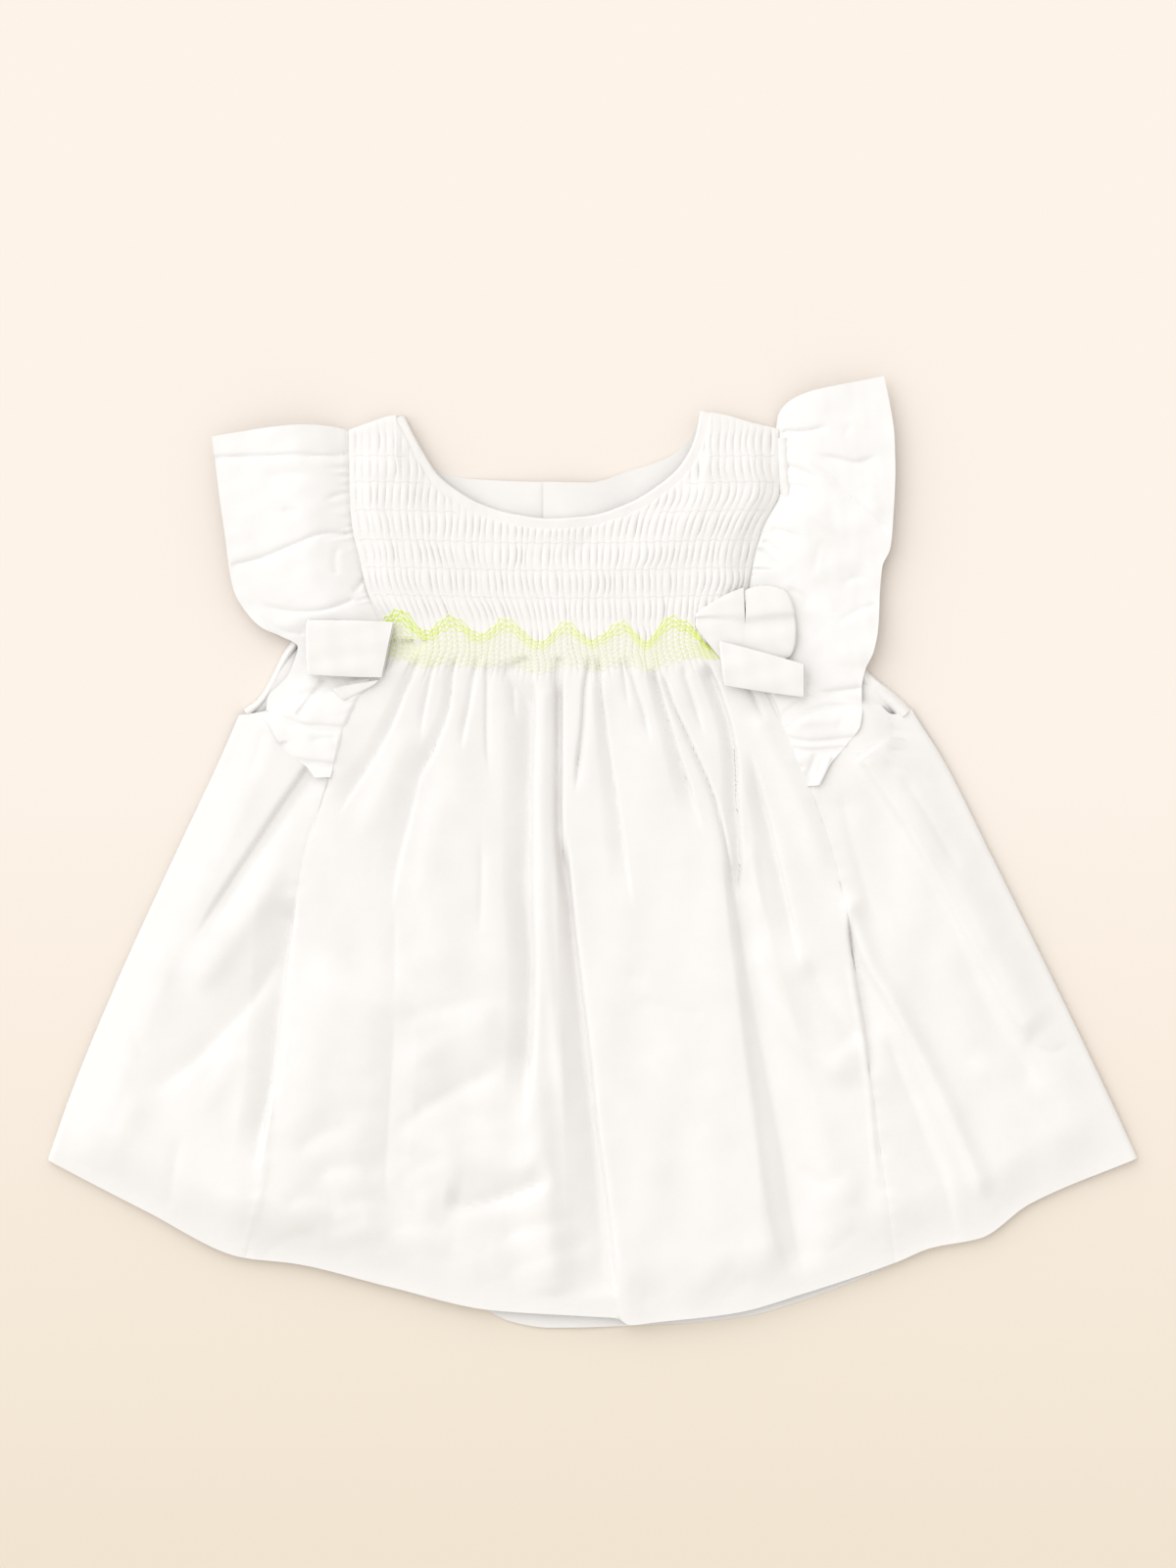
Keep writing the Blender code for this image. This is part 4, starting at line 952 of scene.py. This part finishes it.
def ruffle(name, sections, seam_x, folds, seed, bulge):
    """A frill gathered on its seam; bulge lifts its upper end over the shoulder."""
    u = np.arange(RUFFLE_COLUMNS + 1) / RUFFLE_COLUMNS
    at_section = u * (len(sections) - 1)
    curves = [smooth(list(enumerate(column))) for column in zip(*sections)]
    seam_y, edge_x, edge_y, crest, edge_z = (curve(at_section) for curve in curves)
    length = np.concatenate([[0], np.cumsum(np.abs(np.diff(seam_y)))])
    turns = 2 * math.pi * length / GATHER_PITCH + 2.2 * ripple(length, length * 0, 17, seed)
    strength = np.clip(0.35 + 0.4 * ripple(length, length * 0, 11, seed + 1), 0.05, 1.1)
    reach = np.clip(0.15 + 0.08 * ripple(length, length * 0, 8, seed + 2), 0.07, 0.3)
    v = steps(RUFFLE_ROWS)
    x = mix(seam_x(seam_y), edge_x, v)
    y = mix(seam_y, edge_y, v)
    y += bulge[0] * np.sin(math.pi * v ** bulge[1]) * np.clip(1 - u / 0.12, 0, 1) ** 1.5
    arch = mix(RUFFLE_FOOT, crest, np.sin(math.pi * np.minimum(np.maximum(v - 0.02, 0) * 1.25, 0.5)))
    z = mix(arch, edge_z, step(0.35, 1.0, v)) + 1.2
    below_seam = 1 - step(84, 112, y)
    over_front = mix(0.9, front_skin(x, y, False) + 1.4, below_seam)
    z = 0.5 * (z + over_front + np.sqrt((z - over_front) ** 2 + 0.8)) + crease_height(x, y, folds)
    z += 0.7 * strength * np.sin(turns) * (1 - step(0.0, reach, v)) * step(0, 0.05, v)
    z += (0.14 * ripple(x, y, 18, seed + 3) + 0.04 * ripple(x, y, 8, seed + 4)) * step(0.05, 0.3, v)
    z = np.maximum(z, mix(1.2, front_skin(x, y) + 0.4, below_seam)) - 1.6 * (1 - step(0, 0.05, v))
    turned = 1 - step(*RUFFLE_HEM, np.hypot(x - edge_x, y - edge_y))
    return cloth_object(name, x, y, z, z - mix(CLOTH, 0.8, turned), COTTON_RUFFLE_PAINTED_LIGHT)


FLUTTERS = [
    ("left", RUFFLE_LEFT, lambda y: seam_left(y) + 1.2, RUFFLE_LEFT_FOLDS, 41, (3.8, 0.7)),
    ("right", RUFFLE_RIGHT, lambda y: seam_right(y) - 1.2, RUFFLE_RIGHT_FOLDS, 51, (9.6, 0.42)),
]
for hand, *settings in FLUTTERS:
    show(ruffle("flutter_" + hand, *settings), "cotton", "ruffle_" + hand)

# Bindings


def strip(name, near, far, base_z, crown, columns, profile):
    """A strip between two lines: closed, with its crown over a flat foot."""
    across = np.arange(columns + 1) / columns
    x, y = (mix(near[:, k, None], far[:, k, None], across) for k in (0, 1))
    low = base_z(x, y)
    return cloth_object(name, x, y, low + 0.25 + crown * profile(across), low, COTTON)


def tube_profile(across):
    return np.sin(math.pi * across) ** 0.55


def band_profile(across):
    """Rounded over at the free edge, then flat, and pressed down a little where the pleats come out."""
    return np.sqrt(1 - (1 - np.minimum(across / 0.22, 1)) ** 2) - 0.18 * step(0.8, 1, across)


def neck_base(x, y):
    return front_skin(x, y) - 0.45 + 0.07 * ripple(x, y, 8, 61)


neck_edge = strip("neck_edge", NECK, set_off(NECK, NECK_BINDING_WIDTH + 1.2), neck_base,
                  crown=1.55, columns=16, profile=band_profile)
show(neck_edge, "cotton", "neck_binding")


def armhole_base(x, y):
    return 0.30 + 0.08 * ripple(x, y, 6, 63)


def armhole_edge(hand, armhole, inward, crown):
    y = np.linspace(190.0, 66.0, 90)
    near = np.stack([armhole(y), y], axis=1)
    piece = strip("armhole_edge_" + hand, near, set_off(near, inward), armhole_base,
                  crown, columns=12, profile=tube_profile)
    show(piece, "cotton", "armhole_binding_" + hand)


armhole_edge("left", armhole_left, inward=-4.8, crown=4.4)
armhole_edge("right", armhole_right, inward=8.0, crown=5.6)

# Bows

# A band from its knot to its tip, in photo pixels; its height above the surface and its own thickness; how
# far its upper leg rises and its sides swell; where across it a fold steps down, as a share, or 0 for none;
# how far the lower leg reaches beyond the upper one at the knot, and how far the tip's corners are rounded
Loop = namedtuple("Loop", "name knot_top knot_foot tip_top tip_foot low height sag swell fold mouth round")
LOOPS = [
    Loop("bow_left_loop_over", (402.5, 636), (391, 692), (314, 634), (315, 689),
         10.5, 3.0, 0.4, 0.3, 0, 0.6, 0.2),
    Loop("bow_left_loop_under", (389, 694), (381, 701), (340, 703), (352, 716),
         9.2, 2.2, 0.2, 0.6, 0, 0, 0.2),
    Loop("bow_right_loop_left", (757.5, 601), (762, 702), (709, 627), (708, 640),
         9.2, 2.8, 0.5, 1.2, 0.3, 0, 0.3),
    Loop("bow_right_loop_right", (760.5, 603), (757.5, 682), (808, 602), (814, 670),
         9.3, 2.8, 0.6, 1.6, 0.38, 0, 5.4),
    Loop("bow_right_loop_under", (818, 679), (818, 712), (732, 655), (737, 700),
         12.7, 2.8, 0.3, 0.3, 0, 1.2, 0.3),
]
LOOP_WALL = 0.8


def bow_loop(loop):
    """A band folded over at its tip, with its two legs open towards the knot."""
    radius = loop.height / 2
    across = np.linspace(0, 1, 31)[:, None]
    corners = [np.array(at(*c)) for c in (loop.knot_top, loop.knot_foot, loop.tip_top, loop.tip_foot)]
    knot, tip = mix(*corners[:2], across), mix(*corners[2:], across)
    along = (tip - knot) / np.linalg.norm(tip - knot, axis=1, keepdims=True)
    outward = knot[0] - knot[-1]
    outward = outward / np.linalg.norm(outward) * (1 - 2 * across)
    end = tip - along * (radius + loop.round * (1 - np.sqrt(1 - 0.98 * (2 * across - 1) ** 2)))
    legs = [(s, -90) for s in np.linspace(0, 1, 30)[:-1]] + [(1.0, a) for a in np.linspace(-90, 90, 15)]
    legs += [(s, 90) for s in np.linspace(1, 0, 30)[1:]]
    outer, inner = [], []
    for share, angle in legs:
        turn = math.radians(angle)
        above = angle > 0
        for skin, reach in ((outer, radius), (inner, radius - LOOP_WALL)):
            start = knot - along * loop.mouth * (not above)
            place = mix(start, end, share) + along * reach * math.cos(turn) * (share == 1.0)
            place = place + outward * loop.swell * math.sin(math.pi * share) ** 0.8
            puff = loop.sag * math.sin(math.pi * share * 0.8) * above
            edge = 0.8 * np.abs(across[:, 0] * 2 - 1) ** 5 * above
            soft = 0.22 * ripple(place[:, 0], place[:, 1], 13, 71) * above
            if loop.fold and above:
                soft = soft - 1.3 * step(-0.03, 0.05, across[:, 0] - loop.fold)
            z = loop.low + radius + math.sin(turn) * reach + puff - edge + soft
            skin.append(np.column_stack([place, z]))
    return shell_object(loop.name + "_cloth", outer, inner, COTTON_BOW)


for loop in LOOPS:
    show(bow_loop(loop), "cotton", loop.name)


KNOT_LOW = 8.0


def knot_piece(hand, x, y):
    """The gathered band round a bow's middle."""
    rows = []
    for angle in np.linspace(0, 2 * math.pi, 25):
        across = np.linspace(-1, 1, 15)
        width = 1.9 * np.cos(across * 1.2)
        bx = np.cos(angle) * width + 0.15 * np.sin(9 * across + 2 * np.cos(angle))
        bz = np.sin(angle) * 1.5 * np.sqrt(np.clip(1 - across**2, 0, 1)) + 1.5
        rows.append(np.column_stack([x + bx, y + 4.6 * across, KNOT_LOW + bz]))
    shell = Shell()
    shell.skin(rows)
    piece = shell.build(f"bow_{hand}_middle", COTTON_BOW)
    work = bmesh.new()
    work.from_mesh(piece.data)
    bmesh.ops.remove_doubles(work, verts=work.verts, dist=0.02 * MM)
    bmesh.ops.recalc_face_normals(work, faces=work.faces)
    work.to_mesh(piece.data)
    work.free()
    piece.data.shade_smooth()
    show(piece, "cotton", f"bow_{hand}_knot")


knot_piece("left", x=-95.6, y=92.0)
knot_piece("right", x=70.1, y=115.6)

# Threads


def tube(line, radius, sides):
    """Points and faces of a round thread along a line of points."""
    p = np.asarray(line, float)
    along = np.gradient(p, axis=0)
    along /= np.maximum(np.linalg.norm(along, axis=1, keepdims=True), 1e-9)
    up = np.array([0.0, 0.0, 1.0])
    side = np.cross(along, up)
    side /= np.maximum(np.linalg.norm(side, axis=1, keepdims=True), 1e-9)
    rise = np.cross(side, along)
    angles = np.arange(sides) * 2 * math.pi / sides
    ways = np.cos(angles)[:, None] * side[:, None] + np.sin(angles)[:, None] * rise[:, None]
    rings = p[:, None] + radius * ways
    faces = []
    for i in range(len(p) - 1):
        for j in range(sides):
            k = (j + 1) % sides
            faces.append([i * sides + j, i * sides + k, (i + 1) * sides + k, (i + 1) * sides + j])
    faces.append(list(range(sides))[::-1])
    faces.append([(len(p) - 1) * sides + j for j in range(sides)])
    return rings.reshape(-1, 3), faces


def threads_object(name, lines, radius, material, sides=6):
    points, faces, count = [], [], 0
    for line in lines:
        p, f = tube(line, radius, sides)
        points.append(p)
        faces.extend([[i + count for i in face] for face in f])
        count += len(p)
    return mesh_object(name, np.vstack(points), faces, material)


def on_pleats(shares, ys, lift, reach):
    """Points of a thread over the smocking: reach is how much of the way it spans from crest to crest."""
    x = front_x(shares, ys)
    sx, _, z = pleated(shares, x, ys, FAR_ABOVE)
    crest = front_skin(x, ys) + PLEAT_HEIGHT - 0.55
    z = mix(z, np.maximum(z, crest), reach)
    return np.stack([sx, ys, z + lift], axis=-1)


def smocking_stitches():
    """Small white stitches, one over each furrow, that hold the pleats in rows."""
    lines = []
    i = np.arange(1, PLEATS)[:, None]
    t = np.linspace(-0.42, 0.42, 7)[None, :]
    share = (i + t) / PLEATS
    for py in STITCH_ROWS[1:]:
        row_y = at(0, py)[1]
        y = row_y - row_sag(front_x(share, row_y)) + np.where(i % 2, 0.35, -0.35) * np.sin(t * math.pi)
        room = front_top_y(front_x(share, y)) - y
        lines += list(on_pleats(share, y, lift=0.02, reach=0.6)[room.min(axis=1) > 5.0])
    return threads_object("smocking_stitches", lines, radius=0.16, material=WHITE_THREAD, sides=5)


show(smocking_stitches(), "white_thread")


BRIGHT_LINES = (0, 0.35, 0.7, 1.05, 1.4)  # threads of the zigzag, in rows of the net from its upper edge
LINE_STEP = 0.36
PALE_LINES = np.arange(1.75, NET_ROWS + 0.1, LINE_STEP)


def net_line(row):
    """One thread of the embroidered net, which steps up and down from pleat to pleat."""
    share = np.linspace(0.008, 0.992, PLEATS * 8)
    phase = share * PLEATS
    tri = 1 - 4 * np.abs((phase / 2) % 1 - 0.5)  # a zigzag over two pleats
    guess = np.full_like(share, at(0, 655)[1])
    for _ in range(4):
        x = front_x(share, guess)
        pitch = (net_top_y(x) - net_foot_y(x)) / NET_ROWS
        way = -1 if round(row / LINE_STEP) % 2 else 1
        guess = mix(net_top_y(x), net_foot_y(x), row / NET_ROWS) + 0.42 * pitch * tri * way
    return on_pleats(share, guess, lift=-0.12, reach=0.75)


bright = threads_object("embroidery_bright", map(net_line, BRIGHT_LINES), radius=0.36, material=LIME_THREAD)
show(bright, "lime_thread")
pale = threads_object("embroidery_pale", map(net_line, PALE_LINES), radius=0.27, material=PALE_LIME_THREAD)
show(pale, "pale_lime_thread")

# Buttons keep their solids and get a pearly finish

for i in range(3):
    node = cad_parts[f"button_{i + 1}"]
    node.data.materials.clear()
    node.data.materials.append(PEARL)

# Floor, light and camera

# The floor's colour is painted lighter at the top and darker towards the foot: painted shade, standing in for
# the falloff of the light from beyond the top
FLOOR_LIT_TOP = (0.82, 0.755, 0.69)
FLOOR_SHADED_FOOT = (0.735, 0.655, 0.545)
FLOOR_LIGHT_FALLOFF = (-0.32, 0.04)  # y, in metres, between which the floor's colour changes
FLOOR_HALF, FLOOR_Z = 3.0, -0.0002


def floor_material():
    ground = Material("floor", {"Roughness": 0.9, "Specular IOR Level": 0.1})
    y = ground.node("SeparateXYZ", "Y", {"Vector": ground.place()})
    low, high = FLOOR_LIGHT_FALLOFF
    span = ground.node("MapRange", "Result", {"Value": y, "From Min": low, "From Max": high})
    # the ramp paints the light's falloff into the floor's colour
    ground.give(ground.shader, {"Base Color": ground.ramp(span, (0, FLOOR_SHADED_FOOT), (1, FLOOR_LIT_TOP))})
    return ground.made


def floor():
    mesh = bpy.data.meshes.new("floor")
    corners = [(x * FLOOR_HALF, y * FLOOR_HALF, FLOOR_Z) for x, y in ((-1, -1), (1, -1), (1, 1), (-1, 1))]
    mesh.from_pydata(corners, [], [(0, 1, 2, 3)])
    mesh.materials.append(floor_material())
    add_object("floor", mesh)


floor()


def key_light():
    """One very wide soft light from beyond the upper left corner of the picture."""
    light = bpy.data.lights.new("key", "SUN")
    light.energy = 1.5
    light.angle = math.radians(80)
    light.color = (0.935, 0.96, 1.0)
    way = Vector((0.52, -0.44, -0.70))
    add_object("key", light).rotation_euler = way.to_track_quat("-Z", "Y").to_euler()


key_light()
world = bpy.data.worlds.new("studio")
world.use_nodes = True
background = world.node_tree.nodes["Background"]
background.inputs["Color"].default_value = (1.0, 0.975, 0.94, 1)
background.inputs["Strength"].default_value = 0.88
bpy.context.scene.world = world
bpy.context.scene.view_settings.view_transform = "Standard"

HEIGHT = 1.6  # of the camera, in metres, straight above the middle of the picture
SENSOR = 36
camera = bpy.data.cameras.new("camera")
camera.sensor_width = SENSOR
camera.lens = SENSOR * HEIGHT / (PHOTO_HEIGHT * PX * MM)
camera.clip_start, camera.clip_end = 0.05, 20
holder = add_object("camera", camera)
holder.location = (*(v * MM for v in at(*PHOTO_MIDDLE)), HEIGHT)
bpy.context.scene.camera = holder

# A record for the cut sizes of the cloth

# What shows of each cut piece: width and length in metres, area in square metres
Cut = namedtuple("Cut", "piece width length area held rests_on with_pieces", defaults=([],))
